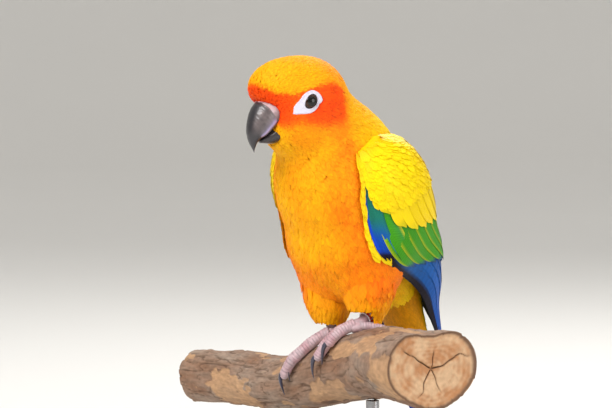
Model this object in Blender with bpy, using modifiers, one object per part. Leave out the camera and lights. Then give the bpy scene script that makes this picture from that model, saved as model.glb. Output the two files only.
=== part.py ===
"""A perched sun conure, life size, on a short branch held by a plain display stand.

The bird faces -Y with its left side at +X. The origin is the middle of the base's underside.
Lengths below are millimetres and are scaled to metres where a mesh is made.
"""
import math

import bmesh
import bpy
import numpy as np
from mathutils import Matrix, Vector

MM = 0.001
GAP = 0.3

# The stand and the perch
PERCH_TOP = 132.0
BASE_RADIUS = 62.0
BASE_HEIGHT = 9.0
BASE_BEVEL = 1.5
BASE_BACK = 12.0
ROD_RADIUS = 3.0
ROD_SPREAD = 26.0
PERCH_TURN = math.radians(16)
PERCH_ENDS = (-118.0, 72.0)
PERCH_AXIS = {-118: -27.0, -88: -26.2, -43: -25.2, 8: -15.0, 37: -10.0, 70: -9.6}
PERCH_GIRTH = {-118: 12.2, -88: 12.6, -43: 13.2, 8: 15.2, 37: 17.0, 70: 19.6}

# The trunk of the bird
BODY_PITCH = math.radians(60)
BODY_CENTRE = (-5.0, 58.0)
SPINE_Q = {-60: -13.0, -40: -10.0, -20: -4.0, 5: -2.0, 26: -2.0}
NECK_START = 26.0
HEAD_BEND_LENGTH = 41.0
HEAD_PITCH = math.radians(-12)
FACE_PITCH = math.radians(-6)
HEAD_YAW = math.radians(17)
RAY_LIFT = {26: 0.0, 45: 3.0, 67: 6.0}
TAIL_CUT = -46.0
NECK_CUT = 26.0
HEAD_CUT = 39.0
BODY_BLEND = 2.6

# The head
EYES_AT = (-2.0, 29.0, 106.0)
EYE_RADIUS = 4.2
EYE_SINK = 2.6

# The wings and the tail
WING_LEAD = {34: 106, 24: 114, 11: 122, -6: 127, -18: 126, -30: 122, -45: 112, -60: 102, -80: 94, -100: 84}
WING_REAR = {34: 74, 24: 50, 11: 38, -6: 27, -18: 20, -30: 14, -45: 9, -60: 6, -80: 4, -100: 4}
WING_TOP = 33.0
WING_CORE_END = -27.0
WING_CLEARANCE = 0.7
WING_HEIGHT = {34: 3.0, 24: 5.0, 15: 5.6, 5: 5.6, -5: 5.2, -15: 4.7, -25: 4.2, -35: 3.7, -45: 3.3, -60: 2.8,
               -80: 2.2, -106: 1.6}
WING_DOME = {0: 0.35, 0.12: 0.9, 0.5: 1.0, 1: 0.5}
TAIL_LENGTH = 135.0
TAIL_PITCH = math.radians(66)

SEGMENTS = 28
TORSO_ROWS = 18
NECK_ROWS = 5


# Directions of the bird: ahead is -Y and its left is +X
def heading(pitch, yaw):
    """Unit vector that points ahead, raised by pitch and turned to the bird's right by yaw."""
    return np.array([
        -math.cos(pitch) * math.sin(yaw),
        -math.cos(pitch) * math.cos(yaw),
        math.sin(pitch),
    ])


def frame_of(pitch, yaw):
    """Rows are the forward, left and up directions of a part that is raised and turned so."""
    ahead = heading(pitch, yaw)
    left = np.array([math.cos(yaw), -math.sin(yaw), 0.0])
    up = np.cross(ahead, left)
    return np.array([ahead, left, up])


BODY = frame_of(BODY_PITCH, 0.0)
HEAD = frame_of(HEAD_PITCH, HEAD_YAW)
FACE = frame_of(0.0, HEAD_YAW)
CENTRE = np.array([0.0, -BODY_CENTRE[0], BODY_CENTRE[1]])
EYES = np.array([EYES_AT[0], -EYES_AT[1], EYES_AT[2]])


def along(s, q, x=0.0):
    """Point at s along the trunk's axis, q towards the belly and x to the left."""
    s, q, x = np.broadcast_arrays(*(np.asarray(v, float) for v in (s, q, x)))
    return CENTRE + s[..., None] * BODY[0] - q[..., None] * BODY[2] + x[..., None] * BODY[1]


def on_head(ahead, left, up):
    """Point given from the middle between the eyes in the head's own directions."""
    ahead, left, up = np.broadcast_arrays(*(np.asarray(v, float) for v in (ahead, left, up)))
    return EYES + ahead[..., None] * FACE[0] + left[..., None] * FACE[1] + up[..., None] * FACE[2]


def curve(table, at):
    """Smooth curve through the few values of a table, read at one or many places."""
    keys = np.array(sorted(table), float)
    values = np.array([table[k] for k in sorted(table)], float)
    slopes = np.gradient(values, keys)
    at = np.clip(np.asarray(at, float), keys[0], keys[-1])
    i = np.clip(np.searchsorted(keys, at, side="right") - 1, 0, len(keys) - 2)
    width = keys[i + 1] - keys[i]
    t = (at - keys[i]) / width
    a = (1 + 2 * t) * (1 - t) ** 2
    b = t * (1 - t) ** 2
    c = t * t * (3 - 2 * t)
    d = t * t * (t - 1)
    return a * values[i] + b * width * slopes[i] + c * values[i + 1] + d * width * slopes[i + 1]


def smooth(value):
    value = np.clip(value, 0.0, 1.0)
    return value * value * (3 - 2 * value)


# The form of the trunk, neck and head: rounded masses that melt into one another
def mass(centre, axes, radii):
    return np.asarray(centre, float), np.asarray(axes, float), np.asarray(radii, float)


TRUNK_MASSES = [
    mass(along(12, 4), BODY, (32, 26.5, 26)),
    mass(along(-14, 6.5), BODY, (30, 29.5, 26)),
    mass(along(12, -12), BODY, (35, 24, 22)),
    mass(along(-34, -9), BODY, (27, 16.5, 14)),
    mass(along(38, -1.5), BODY, (20, 19, 21.5)),
]
HEAD_MASSES = [
    mass(on_head(-4.5, 0, 2), HEAD, (20.5, 16.0, 18.6)),
    mass(on_head(8.2, 0, 8.6), HEAD, (15.2, 12.6, 10.6)),
    mass(on_head(-1, 6, -8), HEAD, (12.5, 9.5, 11.5)),
    mass(on_head(-1, -6, -8), HEAD, (12.5, 9.5, 11.5)),
    mass(on_head(3, 0, -13), HEAD, (10.5, 9, 8)),
]
MASSES = TRUNK_MASSES + HEAD_MASSES


def field(points, masses=MASSES, blend=BODY_BLEND):
    """Rough distance from the melted masses, below zero inside."""
    depths = []
    for centre, axes, radii in masses:
        local = (points - centre) @ axes.T / radii
        k = np.linalg.norm(local, axis=-1)
        g = np.linalg.norm(local / radii, axis=-1) + 1e-9
        depths.append(k * (k - 1) / g)
    depths = np.array(depths)
    low = depths.min(axis=0)
    return low - blend * np.log(np.exp(-(depths - low) / blend).sum(axis=0))


def reach(starts, directions, level=0.0, far=60.0, masses=MASSES):
    """Point on each ray where the masses end, level millimetres outside them."""
    low = np.zeros(starts.shape[:-1])
    high = np.full(starts.shape[:-1], far)
    for _ in range(24):
        middle = (low + high) / 2
        inside = field(starts + middle[..., None] * directions, masses) < level
        low = np.where(inside, middle, low)
        high = np.where(inside, high, middle)
    return starts + high[..., None] * directions


def normals_at(points, masses=MASSES):
    """Outward direction of the masses' surface."""
    step = 0.05
    slope = np.stack([
        field(points + step * axis, masses) - field(points - step * axis, masses)
        for axis in np.eye(3)
    ], axis=-1)
    return slope / np.linalg.norm(slope, axis=-1, keepdims=True)


def spine(place):
    """Centre and frame of the cross-section at a place along the bird, from tail to face."""
    if place <= NECK_START:
        return along(place, curve(SPINE_Q, place)), BODY
    share = min((place - NECK_START) / HEAD_BEND_LENGTH, 1.0)
    centre = along(NECK_START, curve(SPINE_Q, NECK_START))
    steps = 24
    for k in range(steps):
        part = share * (k + 0.5) / steps
        pitch = BODY_PITCH + (FACE_PITCH - BODY_PITCH) * part
        centre = centre + heading(pitch, HEAD_YAW * part) * HEAD_BEND_LENGTH * share / steps
    pitch = BODY_PITCH + (FACE_PITCH - BODY_PITCH) * share
    return centre, frame_of(pitch, HEAD_YAW * share)


def ring_points(place, tilt=0.0, level=0.0, segments=SEGMENTS):
    """One ring of the surface: rays from the spine, tilted ahead at the rounded ends."""
    centre, axes = spine(place)
    turn = np.arange(segments) * 2 * math.pi / segments
    out = np.cos(turn)[:, None] * axes[2] + np.sin(turn)[:, None] * axes[1]
    rays = math.cos(tilt) * out + math.sin(tilt) * axes[0]
    lift = curve(RAY_LIFT, place)
    starts = np.broadcast_to(centre + lift * axes[2], rays.shape)
    return reach(starts, rays, level)


# Meshes
def mesh_object(name, points, faces, material=None):
    mesh = bpy.data.meshes.new(name)
    mesh.from_pydata((np.asarray(points) * MM + np.array([0, 0, PERCH_TOP * MM])).tolist(), [], faces)
    mesh.validate()
    thing = bpy.data.objects.new(name, mesh)
    PARTS.objects.link(thing)
    if material:
        mesh.materials.append(material)
    return thing


def tidy_mesh(thing):
    """Triangles only, doubles welded, faces pointing out."""
    work = bmesh.new()
    work.from_mesh(thing.data)
    bmesh.ops.remove_doubles(work, verts=work.verts, dist=1e-6)
    bmesh.ops.dissolve_degenerate(work, edges=work.edges, dist=1e-6)
    bmesh.ops.triangulate(work, faces=work.faces)
    bmesh.ops.recalc_face_normals(work, faces=work.faces)
    work.to_mesh(thing.data)
    work.free()
    return thing


def loft(name, rings, material=None, start_tip=None, end_tip=None):
    """Closed body through rings of equal count, with a point or a flat face at each end."""
    rings = np.asarray(rings)
    rows, count = rings.shape[:2]
    points = rings.reshape(-1, 3).tolist()
    faces = []
    for r in range(rows - 1):
        for c in range(count):
            d = (c + 1) % count
            low, high = r * count, (r + 1) * count
            faces.append((low + c, low + d, high + d))
            faces.append((low + c, high + d, high + c))
    for tip, row in ((start_tip, 0), (end_tip, rows - 1)):
        ring = [row * count + c for c in range(count)]
        if tip is None:
            faces.append(tuple(reversed(ring)) if row == 0 else tuple(ring))
        else:
            points.append(tip)
            for c in range(count):
                pair = (ring[c], ring[(c + 1) % count])
                faces.append((pair[1], pair[0], len(points) - 1) if row == 0
                             else (pair[0], pair[1], len(points) - 1))
    return tidy_mesh(mesh_object(name, points, faces, material))


def slab(name, outer, inner, material=None):
    """Closed thin body between two grids of equal size."""
    rows, count = outer.shape[:2]
    points = np.concatenate([outer.reshape(-1, 3), inner.reshape(-1, 3)])
    under = rows * count
    faces = []
    for r in range(rows - 1):
        for c in range(count - 1):
            a, b = r * count + c, r * count + c + 1
            d, e = a + count, b + count
            for corner in ((a, b, e), (a, e, d)):
                faces.append(corner)
                faces.append(tuple(under + k for k in reversed(corner)))
    edge = [c for c in range(count)]
    edge += [r * count + count - 1 for r in range(1, rows)]
    edge += [(rows - 1) * count + c for c in range(count - 2, -1, -1)]
    edge += [r * count for r in range(rows - 2, 0, -1)]
    for k, a in enumerate(edge):
        b = edge[(k + 1) % len(edge)]
        faces.append((b, a, under + a))
        faces.append((b, under + a, under + b))
    return tidy_mesh(mesh_object(name, points, faces, material))


def closed_band(name, rings, material=None):
    """Closed body through rings of equal count that lead back to the first one."""
    rows, count = rings.shape[:2]
    faces = []
    for r in range(rows):
        for c in range(count):
            a, b = r * count + c, r * count + (c + 1) % count
            d, e = ((r + 1) % rows) * count + c, ((r + 1) % rows) * count + (c + 1) % count
            faces.append((a, b, e))
            faces.append((a, e, d))
    return tidy_mesh(mesh_object(name, rings.reshape(-1, 3), faces, material))


def apply_modifiers(thing):
    view = bpy.context.evaluated_depsgraph_get()
    mesh = bpy.data.meshes.new_from_object(thing.evaluated_get(view))
    old = thing.data
    thing.modifiers.clear()
    thing.data = mesh
    bpy.data.meshes.remove(old)


def keep_largest(thing):
    """Drop every closed surface but the largest one."""
    work = bmesh.new()
    work.from_mesh(thing.data)
    bmesh.ops.remove_doubles(work, verts=work.verts, dist=1e-6)
    left = set(work.faces)
    islands = []
    while left:
        stack = [left.pop()]
        island = list(stack)
        while stack:
            for edge in stack.pop().edges:
                for face in edge.link_faces:
                    if face in left:
                        left.remove(face)
                        stack.append(face)
                        island.append(face)
        corners = [v.co for f in island for v in f.verts]
        size = max((max(c[k] for c in corners) - min(c[k] for c in corners)) for k in range(3))
        islands.append((size, island))
    islands.sort(key=lambda pair: pair[0])
    for _, island in islands[:-1]:
        bmesh.ops.delete(work, geom=island, context="FACES")
    loose = [v for v in work.verts if not v.link_faces]
    bmesh.ops.delete(work, geom=loose, context="VERTS")
    work.to_mesh(thing.data)
    work.free()


def fuse(thing, pieces, solver="EXACT"):
    """Join closed pieces to one body."""
    group = bpy.data.collections.new(thing.name + "_pieces")
    bpy.context.scene.collection.children.link(group)
    for piece in pieces:
        PARTS.objects.unlink(piece)
        group.objects.link(piece)
    join = thing.modifiers.new("Join", "BOOLEAN")
    join.operation = "UNION"
    join.solver = solver
    join.operand_type = "COLLECTION"
    join.collection = group
    apply_modifiers(thing)
    for piece in pieces:
        bpy.data.objects.remove(piece)
    bpy.data.collections.remove(group)
    keep_largest(thing)
    return merge_flat(thing)


def merge_flat(thing, angle=0.35):
    """Join the slivers of one flat facet that a union leaves, then split to triangles again."""
    work = bmesh.new()
    work.from_mesh(thing.data)
    bmesh.ops.remove_doubles(work, verts=work.verts, dist=1e-6)
    bmesh.ops.dissolve_limit(work, angle_limit=math.radians(angle), verts=work.verts, edges=work.edges)
    work.to_mesh(thing.data)
    work.free()
    return tidy_mesh(thing)


def carve(thing, cutter, solver="EXACT"):
    """Cut one closed piece out of another and remove the cutter."""
    cut = thing.modifiers.new("Cut", "BOOLEAN")
    cut.operation = "DIFFERENCE"
    cut.solver = solver
    cut.object = cutter
    apply_modifiers(thing)
    bpy.data.objects.remove(cutter)
    keep_largest(thing)
    return tidy_mesh(thing)


def material(name, colour, roughness, metallic=0.0):
    made = bpy.data.materials.new(name)
    made.use_nodes = True
    shader = made.node_tree.nodes["Principled BSDF"]
    shader.inputs["Base Color"].default_value = (*colour, 1.0)
    shader.inputs["Roughness"].default_value = roughness
    shader.inputs["Metallic"].default_value = metallic
    return made


# The trunk, parted with thin flat cuts
def trunk_piece(name, first, last, rows, look, level=0.0):
    """Length of the trunk between two flat cuts."""
    rings = [ring_points(place, level=level) for place in np.linspace(first, last, rows)]
    return loft(name, rings, look)


def trunk_room(level):
    """The room of torso and neck, level millimetres larger, facet by facet like them."""
    places = list(np.linspace(TAIL_CUT, NECK_CUT - GAP / 2, TORSO_ROWS))
    places += list(np.linspace(NECK_CUT + GAP / 2, HEAD_CUT - GAP / 2, NECK_ROWS))
    return loft("trunk_room", [ring_points(place, level=level) for place in places])


def head_piece(name, look, level=0.0, start=HEAD_CUT + GAP / 2):
    """The head from its flat neck cut to the rounded face."""
    last = NECK_START + HEAD_BEND_LENGTH
    rings = [ring_points(place, level=level) for place in np.linspace(start, last, 10)]
    rings += [ring_points(last, tilt, level) for tilt in np.radians((12, 24, 36, 48, 60, 74))]
    centre, axes = spine(last)
    middle = centre + curve(RAY_LIFT, last) * axes[2]
    face = reach(middle[None], axes[0][None], level)[0]
    return loft(name, rings, look, end_tip=face)


# Swept pieces
def sweep(name, path, radii, look=None, sides=10, sideways=None, flat=1.0, start_tip=None, end_tip=None):
    """Tube with a changing radius along a path; sideways sets the first cross direction."""
    path = np.asarray(path, float)
    tangent = np.gradient(path, axis=0)
    tangent /= np.linalg.norm(tangent, axis=1, keepdims=True)
    side = np.asarray(sideways if sideways is not None else (1, 0, 0), float)
    rings = []
    turn = np.arange(sides) * 2 * math.pi / sides
    for centre, ahead, radius in zip(path, tangent, radii):
        side = side - ahead * (side @ ahead)
        side /= np.linalg.norm(side)
        up = np.cross(ahead, side)
        rings.append(centre + radius * (np.cos(turn)[:, None] * side + flat * np.sin(turn)[:, None] * up))
    return loft(name, rings, look, start_tip, end_tip)


# The perch
PERCH_DIRECTION = np.array([math.cos(PERCH_TURN), -math.sin(PERCH_TURN), 0.0])
PERCH_FRONT = np.array([-math.sin(PERCH_TURN), -math.cos(PERCH_TURN), 0.0])


def bark(along_perch, turn):
    """Distance from the perch's axis to its surface; turn 0 is up and a quarter turn is the front."""
    girth = curve(PERCH_GIRTH, along_perch)
    swell = smooth((along_perch - 18) / 50)
    girth = girth * (1 + swell * (0.27 * np.sin(turn) ** 2 - np.cos(turn) ** 2 * (0.14 + 0.08 * np.cos(turn))))
    knots = 0.035 * np.sin(3 * turn + along_perch / 17.0) + 0.02 * np.sin(5 * turn - along_perch / 9.0)
    return girth * (1 + knots)


def perch_point(along_perch, turn, above=0.0):
    along_perch, turn, above = np.broadcast_arrays(
        *(np.asarray(v, float) for v in (along_perch, turn, above)))
    axis = along_perch[..., None] * PERCH_DIRECTION
    axis = axis + curve(PERCH_AXIS, along_perch)[..., None] * np.array([0, 0, 1.0])
    radius = (bark(along_perch, turn) + above)[..., None]
    return axis + radius * (np.cos(turn)[..., None] * np.array([0, 0, 1.0])
                            + np.sin(turn)[..., None] * PERCH_FRONT)


def make_perch(look):
    turns = np.arange(22) * 2 * math.pi / 22
    places = np.linspace(*PERCH_ENDS, 16)
    rings = [perch_point(place, turns) for place in places]
    return loft("perch", rings, look)


# The stand
def make_base(look):
    bpy.ops.mesh.primitive_cylinder_add(vertices=40, radius=BASE_RADIUS * MM, depth=BASE_HEIGHT * MM,
                                        location=(0, BASE_BACK * MM, BASE_HEIGHT * MM / 2))
    base = bpy.context.object
    base.name = "stand_base"
    rim = base.modifiers.new("Rim", "BEVEL")
    rim.width = BASE_BEVEL * MM
    rim.segments = 1
    rim.limit_method = "ANGLE"
    adopt(base, look)
    return base


def make_rod(name, place, look):
    """Rod from the base up to the underside of the perch."""
    foot = BASE_HEIGHT + GAP
    x, y = (place * PERCH_DIRECTION)[:2]
    turns = math.pi + np.linspace(-0.25, 0.25, 9)
    spread = place + np.linspace(-ROD_RADIUS, ROD_RADIUS, 5)
    under = perch_point(spread[:, None], turns[None, :])
    top = PERCH_TOP + under[..., 2].min() - GAP
    bpy.ops.mesh.primitive_cylinder_add(vertices=20, radius=ROD_RADIUS * MM, depth=(top - foot) * MM,
                                        location=(x * MM, y * MM, (top + foot) / 2 * MM))
    rod = bpy.context.object
    rod.name = name
    adopt(rod, look)
    return rod


def adopt(thing, look):
    for group in list(thing.users_collection):
        group.objects.unlink(thing)
    PARTS.objects.link(thing)
    thing.data.materials.clear()
    thing.data.materials.append(look)


# The bill, as stations from base to tip in the head's directions: ahead, up and half width
BILL_TOP = {0.0: (14.0, 3.2), 0.15: (18.6, 2.0), 0.35: (22.6, -2.0), 0.55: (24.7, -8.0),
            0.75: (25.0, -13.6), 0.9: (24.0, -17.8), 1.0: (22.6, -20.4)}
BILL_EDGE = {0.0: (9.0, -7.2), 0.15: (11.2, -8.8), 0.35: (14.4, -12.0), 0.55: (17.2, -14.5),
             0.75: (20.0, -15.8), 0.9: (21.4, -17.8), 1.0: (22.0, -20.2)}
BILL_WIDTH = {0.0: 7.4, 0.15: 7.5, 0.35: 7.0, 0.55: 5.8, 0.75: 4.2, 0.9: 2.4, 1.0: 0.9}
BILL_TIP = (21.9, -21.9)
CERE_PART = 0.21


def pair_curve(table, at):
    return (curve({k: v[0] for k, v in table.items()}, at), curve({k: v[1] for k, v in table.items()}, at))


def bill_ring(part, grow=0.0, count=20):
    """Egg-shaped cross-section of the upper bill, its lower side flat between the cutting edges."""
    top = np.array(pair_curve(BILL_TOP, part))
    edge = np.array(pair_curve(BILL_EDGE, part))
    half = curve(BILL_WIDTH, part) + grow
    middle = (top + edge) / 2
    rise = (top - edge) / 2
    rise = rise * (1 + grow / np.linalg.norm(rise))
    turn = np.arange(count) * 2 * math.pi / count
    height = np.cos(turn)
    flat = np.where(height < 0, -np.abs(height) ** 0.6, height)
    wide = np.sin(turn) * np.where(height < 0, 1.0, 1.0 - 0.12 * height)
    place = middle[None] + flat[:, None] * rise[None]
    return on_head(place[:, 0], half * wide, place[:, 1])


def make_bill_upper(look):
    parts = np.linspace(CERE_PART + 0.02, 1.0, 12)
    rings = [bill_ring(part) for part in parts]
    return loft("bill_upper", rings, look, end_tip=on_head(BILL_TIP[0], 0, BILL_TIP[1]))


def make_cere(look):
    """Fleshy strip at the top of the bill, with the nostrils sunk in it."""
    rings = [bill_ring(part, 0.35, 22) for part in np.linspace(0.0, CERE_PART, 4)]
    cere = loft("cere", rings, look)
    for side in (1, -1):
        spot = on_head(NOSTRIL[0], side * NOSTRIL[1], NOSTRIL[2])
        bpy.ops.mesh.primitive_uv_sphere_add(segments=8, ring_count=6, radius=NOSTRIL_RADIUS * MM,
                                             location=spot * MM + np.array([0, 0, PERCH_TOP * MM]))
        pit = bpy.context.object
        adopt(pit, look)
        carve(cere, pit)
    return cere


NOSTRIL = (16.0, 5.2, 0.4)
NOSTRIL_RADIUS = 1.1
LOWER_TOP = {0.0: (7.5, -8.6), 0.5: (13.0, -13.0), 1.0: (19.0, -16.9)}
LOWER_KEEL = {0.0: (7.6, -17.6), 0.5: (13.0, -19.6), 1.0: (18.7, -18.2)}
LOWER_WIDTH = {0.0: 6.4, 0.5: 5.6, 1.0: 1.6}


def lower_ring(part, grow=0.0, count=16):
    top = np.array(pair_curve(LOWER_TOP, part))
    keel = np.array(pair_curve(LOWER_KEEL, part))
    half = curve(LOWER_WIDTH, part) + grow
    middle = (top + keel) / 2
    rise = (top - keel) / 2
    rise = rise * (1 + grow / np.linalg.norm(rise))
    turn = np.arange(count) * 2 * math.pi / count
    height = np.cos(turn)
    flat = np.where(height > 0, np.abs(height) ** 0.5, height)
    place = middle[None] + flat[:, None] * rise[None]
    return on_head(place[:, 0], half * np.sin(turn), place[:, 1])


def make_bill_lower(look):
    rings = [lower_ring(part) for part in np.linspace(0.0, 1.0, 8)]
    return loft("bill_lower", rings, look)


# Eyes and their lids
EYE_AHEAD = 2.2
EYE_UP = 1.2
LID_HOLE = 3.0
LID_REACH = {0: 6.6, 60: 5.0, 120: 5.0, 180: 6.0, 240: 5.2, 300: 6.6, 330: 8.6, 345: 8.0, 360: 6.6}


def eye_place(side):
    """Middle of the eye's opening on the head, its outward, forward and up directions."""
    start = on_head(EYE_AHEAD, 0, EYE_UP)
    ray = side * HEAD[1]
    spot = reach(start[None], ray[None])[0]
    out = normals_at(spot[None])[0]
    ahead = HEAD[0] - out * (HEAD[0] @ out)
    ahead /= np.linalg.norm(ahead)
    up = HEAD[2] - out * (HEAD[2] @ out) - ahead * (HEAD[2] @ ahead)
    return spot, out, ahead, up / np.linalg.norm(up)


def make_eye(name, side, look, grow=0.0):
    spot, out, _, _ = eye_place(side)
    bpy.ops.mesh.primitive_uv_sphere_add(segments=14, ring_count=8, radius=(EYE_RADIUS + grow) * MM)
    eye = bpy.context.object
    eye.name = name
    centre = (spot - EYE_SINK * out) * MM + np.array([0, 0, PERCH_TOP * MM])
    turn = Vector((0, 0, 1)).rotation_difference(Vector(out)).to_matrix().to_4x4()
    eye.matrix_world = Matrix.Translation(Vector(centre)) @ turn
    adopt(eye, look)
    return eye


def make_lids(name, side, look):
    """Bare skin round the eye: a thin plate on the head with a raised rim at the eye."""
    spot, out, ahead, up = eye_place(side)
    turns = np.arange(20) * 2 * math.pi / 20
    reach_out = curve(LID_REACH, np.degrees(turns))
    profile = ((0.0, 0.75), (0.0, 1.35), (0.25, 1.5), (0.5, 1.05), (0.93, 0.95), (1.0, 0.6), (1.0, 0.35),
               (0.45, 0.35))
    rings = []
    for share, height in profile:
        radius = LID_HOLE + (reach_out - LID_HOLE) * share
        flat = (radius * np.cos(turns))[:, None] * ahead + (radius * np.sin(turns))[:, None] * up
        base = reach(spot + flat - 12 * out, np.broadcast_to(out, flat.shape), 0.0, 40.0)
        rings.append(base + height * out)
    return closed_band(name, np.array(rings), look)


# Legs
LEG_PLACE = {1: 15.0, -1: -5.0}
HEEL = {1: (2.0, 11.0, 6.2), -1: (-1.0, 6.0, 8.0)}
THIGH_TOP = (13.0, -8.0, 34.0)
TARSUS_RADIUS = 2.4
RING_INNER = TARSUS_RADIUS + 0.3
RING_OUTER = RING_INNER + 0.7
RINGS = {1: (0.68, 3.8, "ring_red"), -1: (0.5, 1.4, "ring_metal")}


def tube_between(name, start, end, first, last, radius, sides):
    """Plain round bar on the line from start to end, between two shares of it."""
    shares = np.linspace(first, last, 4)
    path = (start + [0, 0, -0.6])[None] + (end - start)[None] * shares[:, None]
    return sweep(name, path, np.full(4, radius), None, sides)


def leg_points(side):
    """Place along the perch, hub of the toes and heel of one leg."""
    place = LEG_PLACE[side]
    hub = perch_point(place, 0.12, 3.2)
    return place, hub, hub + np.array(HEEL[side])


def make_thigh(name, side, look):
    """Feathered thigh from the belly to the heel, cut clear of the trunk and the leg."""
    _, hub, heel = leg_points(side)
    top = np.array([side * THIGH_TOP[0], -THIGH_TOP[1], THIGH_TOP[2]])
    bottom = heel + np.array([0, -2.5, -4.6])
    shares = np.linspace(0, 1, 8)
    path = top[None] + (bottom - top)[None] * shares[:, None]
    path[:, 1] -= 2.0 * np.sin(shares * math.pi)
    radii = curve({0: 9.0, 0.3: 11.6, 0.6: 11.4, 0.85: 8.6, 1: 4.8}, shares)
    thigh = sweep(name, path, radii, look, 14, flat=1.1)
    carve(thigh, trunk_room(GAP))
    carve(thigh, tube_between("leg_pocket", hub, heel, -0.2, 1.06, TARSUS_RADIUS + 0.35 + GAP, 12))
    share, height, _ = RINGS[side]
    half = (height / 2 + GAP) / np.linalg.norm(heel - hub)
    return carve(thigh, tube_between("ring_pocket", hub, heel, share - half, share + half,
                                     RING_OUTER + GAP, 24))


TOES = {
    1: (("inner_front", 14.5, -4.5, 2.3), ("outer_front", 21.0, -10.0, 2.4),
        ("inner_back", -11.0, -5.0, 1.7), ("outer_back", -17.0, 9.0, 1.9)),
    -1: (("inner_front", 17.0, -10.0, 2.3), ("outer_front", 24.0, -16.5, 2.4),
         ("inner_back", -11.0, 3.0, 1.7), ("outer_back", -17.0, -7.0, 1.9)),
}
CLAW_LENGTH = 8.0


def toe_line(place, arc, drift, above, share):
    """Point along a toe that runs round the perch for an arc while it drifts along it."""
    girth = float(curve(PERCH_GIRTH, place)) + above
    return perch_point(place + drift * share, 0.12 + share * arc / girth, above)


def make_foot(name, side, look):
    """Leg and toes fused: a scaled tarsus, two toes ahead and two behind, each with its claw."""
    place, hub, heel = leg_points(side)
    shares = np.linspace(0, 1, 6)
    path = (hub + [0, 0, -0.6])[None] + (heel - hub)[None] * shares[:, None]
    tarsus = sweep(name, path, TARSUS_RADIUS + 0.3 * np.cos(shares * 2 * math.pi), look, 10)
    pieces = []
    for label, arc, drift, thick in TOES[side]:
        share = np.linspace(0, 1, 6)
        above = curve({0: thick + GAP + 0.9, 0.25: thick + GAP + 0.3, 1: thick + GAP + 0.1}, share)
        line = toe_line(place, arc, drift, above, share)
        radii = thick * curve({0: 1.15, 0.3: 1.0, 0.8: 0.95, 1: 0.75}, share)
        pieces.append(sweep(label, line, radii, look, 6))
        along_claw = np.linspace(0, 1, 5)
        claw_share = 0.93 + along_claw * CLAW_LENGTH / abs(arc)
        lift = curve({0: thick + 0.6, 0.4: thick + 1.2, 1: 1.0}, along_claw) + GAP
        claw = toe_line(place, arc, drift, lift, claw_share)
        pieces.append(sweep(label + "_claw", claw, curve({0: 1.3, 0.5: 0.9, 1: 0.3}, along_claw), look, 5))
    return fuse(tarsus, pieces, "MANIFOLD")


def make_ring(side, look):
    """Leg ring, a short tube round the tarsus."""
    share, height, name = RINGS[side]
    _, hub, heel = leg_points(side)
    axis = (heel - hub) / np.linalg.norm(heel - hub)
    middle = hub + [0, 0, -0.6] + (heel - hub) * share
    side_way = np.cross(axis, (0, 0, 1.0))
    side_way /= np.linalg.norm(side_way)
    up = np.cross(axis, side_way)
    turn = np.arange(20) * 2 * math.pi / 20
    around = np.cos(turn)[:, None] * side_way + np.sin(turn)[:, None] * up
    profile = ((RING_INNER, -1), (RING_OUTER, -1), (RING_OUTER, 1), (RING_INNER, 1))
    rings = np.array([middle + radius * around + axis * end * height / 2 for radius, end in profile])
    return closed_band(name, rings, look)


# Wings, on a surface that leaves the trunk behind the rump
WING_MASSES = TRUNK_MASSES + [
    mass(along(-40, -12, side * 10), frame_of(math.radians(64), math.radians(-13 * side)), (66, 10, 10))
    for side in (1, -1)
] + [
    mass(along(7, -9.5, side * 18), BODY, (33, 14.2, 19.5)) for side in (1, -1)
] + [
    mass(along(-22, -11, side * 13), BODY, (36, 14, 16)) for side in (1, -1)
]


def wing_rays(side, s, u):
    """Start and direction of the rays on which the wing's points lie; u runs from front to back edge."""
    start = along(s, curve({-110: -8.5, -60: -10.5, -40: -10.0, -20: -5.0, 10: -3.0, 38: -3.0}, s),
                  side * curve({-110: 4.5, -80: 3.5, -50: 0.0, 38: 0.0}, s))
    angle = np.radians(curve(WING_LEAD, s) * (1 - u) + curve(WING_REAR, s) * u)
    return start, np.cos(angle)[..., None] * BODY[2] + side * np.sin(angle)[..., None] * BODY[1]


def wing_point(side, s, u, height):
    """Point of the wing at s along the trunk, height above the smooth form of the folded wing."""
    s, u, height = np.broadcast_arrays(*(np.asarray(v, float) for v in (s, u, height)))
    start, ray = wing_rays(side, s, u)
    wing = np.linalg.norm(reach(start, ray, 0.0, 60.0, WING_MASSES) - start, axis=-1)
    trunk = np.linalg.norm(reach(start, ray) - start, axis=-1)
    settle = 0.55 * smooth((u - 0.7) / 0.3) * smooth((s + 42) / 20)
    return start + (wing - settle * (wing - trunk) + height)[..., None] * ray


def dome(s, u):
    """Height of the wing's outermost feathers above the smooth form."""
    return curve(WING_HEIGHT, s) * curve(WING_DOME, u)


def wing_core(name, side, look):
    """Fleshy front of the wing with its small feathers, from the shoulder back to the flight feathers."""
    s = np.linspace(WING_TOP, WING_CORE_END, 11)[:, None]
    u = np.linspace(0, 1, 8)[None]
    s, u = np.broadcast_arrays(s, u)
    sunk = curve({-27: 2.6, -18: 1.5, -6: 0.9, 18: 0.6, 26: 0.0, 33: 0.0}, s)
    outer = wing_point(side, s, u, dome(s, u) - sunk)
    start, ray = wing_rays(side, s, u)
    inner = reach(start, ray, GAP + WING_CLEARANCE) + curve({-27: 0.0, 18: 0.0, 33: 0.5}, s)[..., None] * ray
    under = 0.9 * smooth((-12 - s) / 15)[..., None]
    inner = inner * (1 - under) + (outer - 0.8 * ray) * under
    return slab(name, outer, inner, look)


VANE_WIDTH = {0.0: 0.8, 0.35: 1.0, 0.75: 0.96, 0.9: 0.74, 1.0: 0.3}
ROW_PITCH = 0.108
VANE_THICK = 0.56


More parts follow.
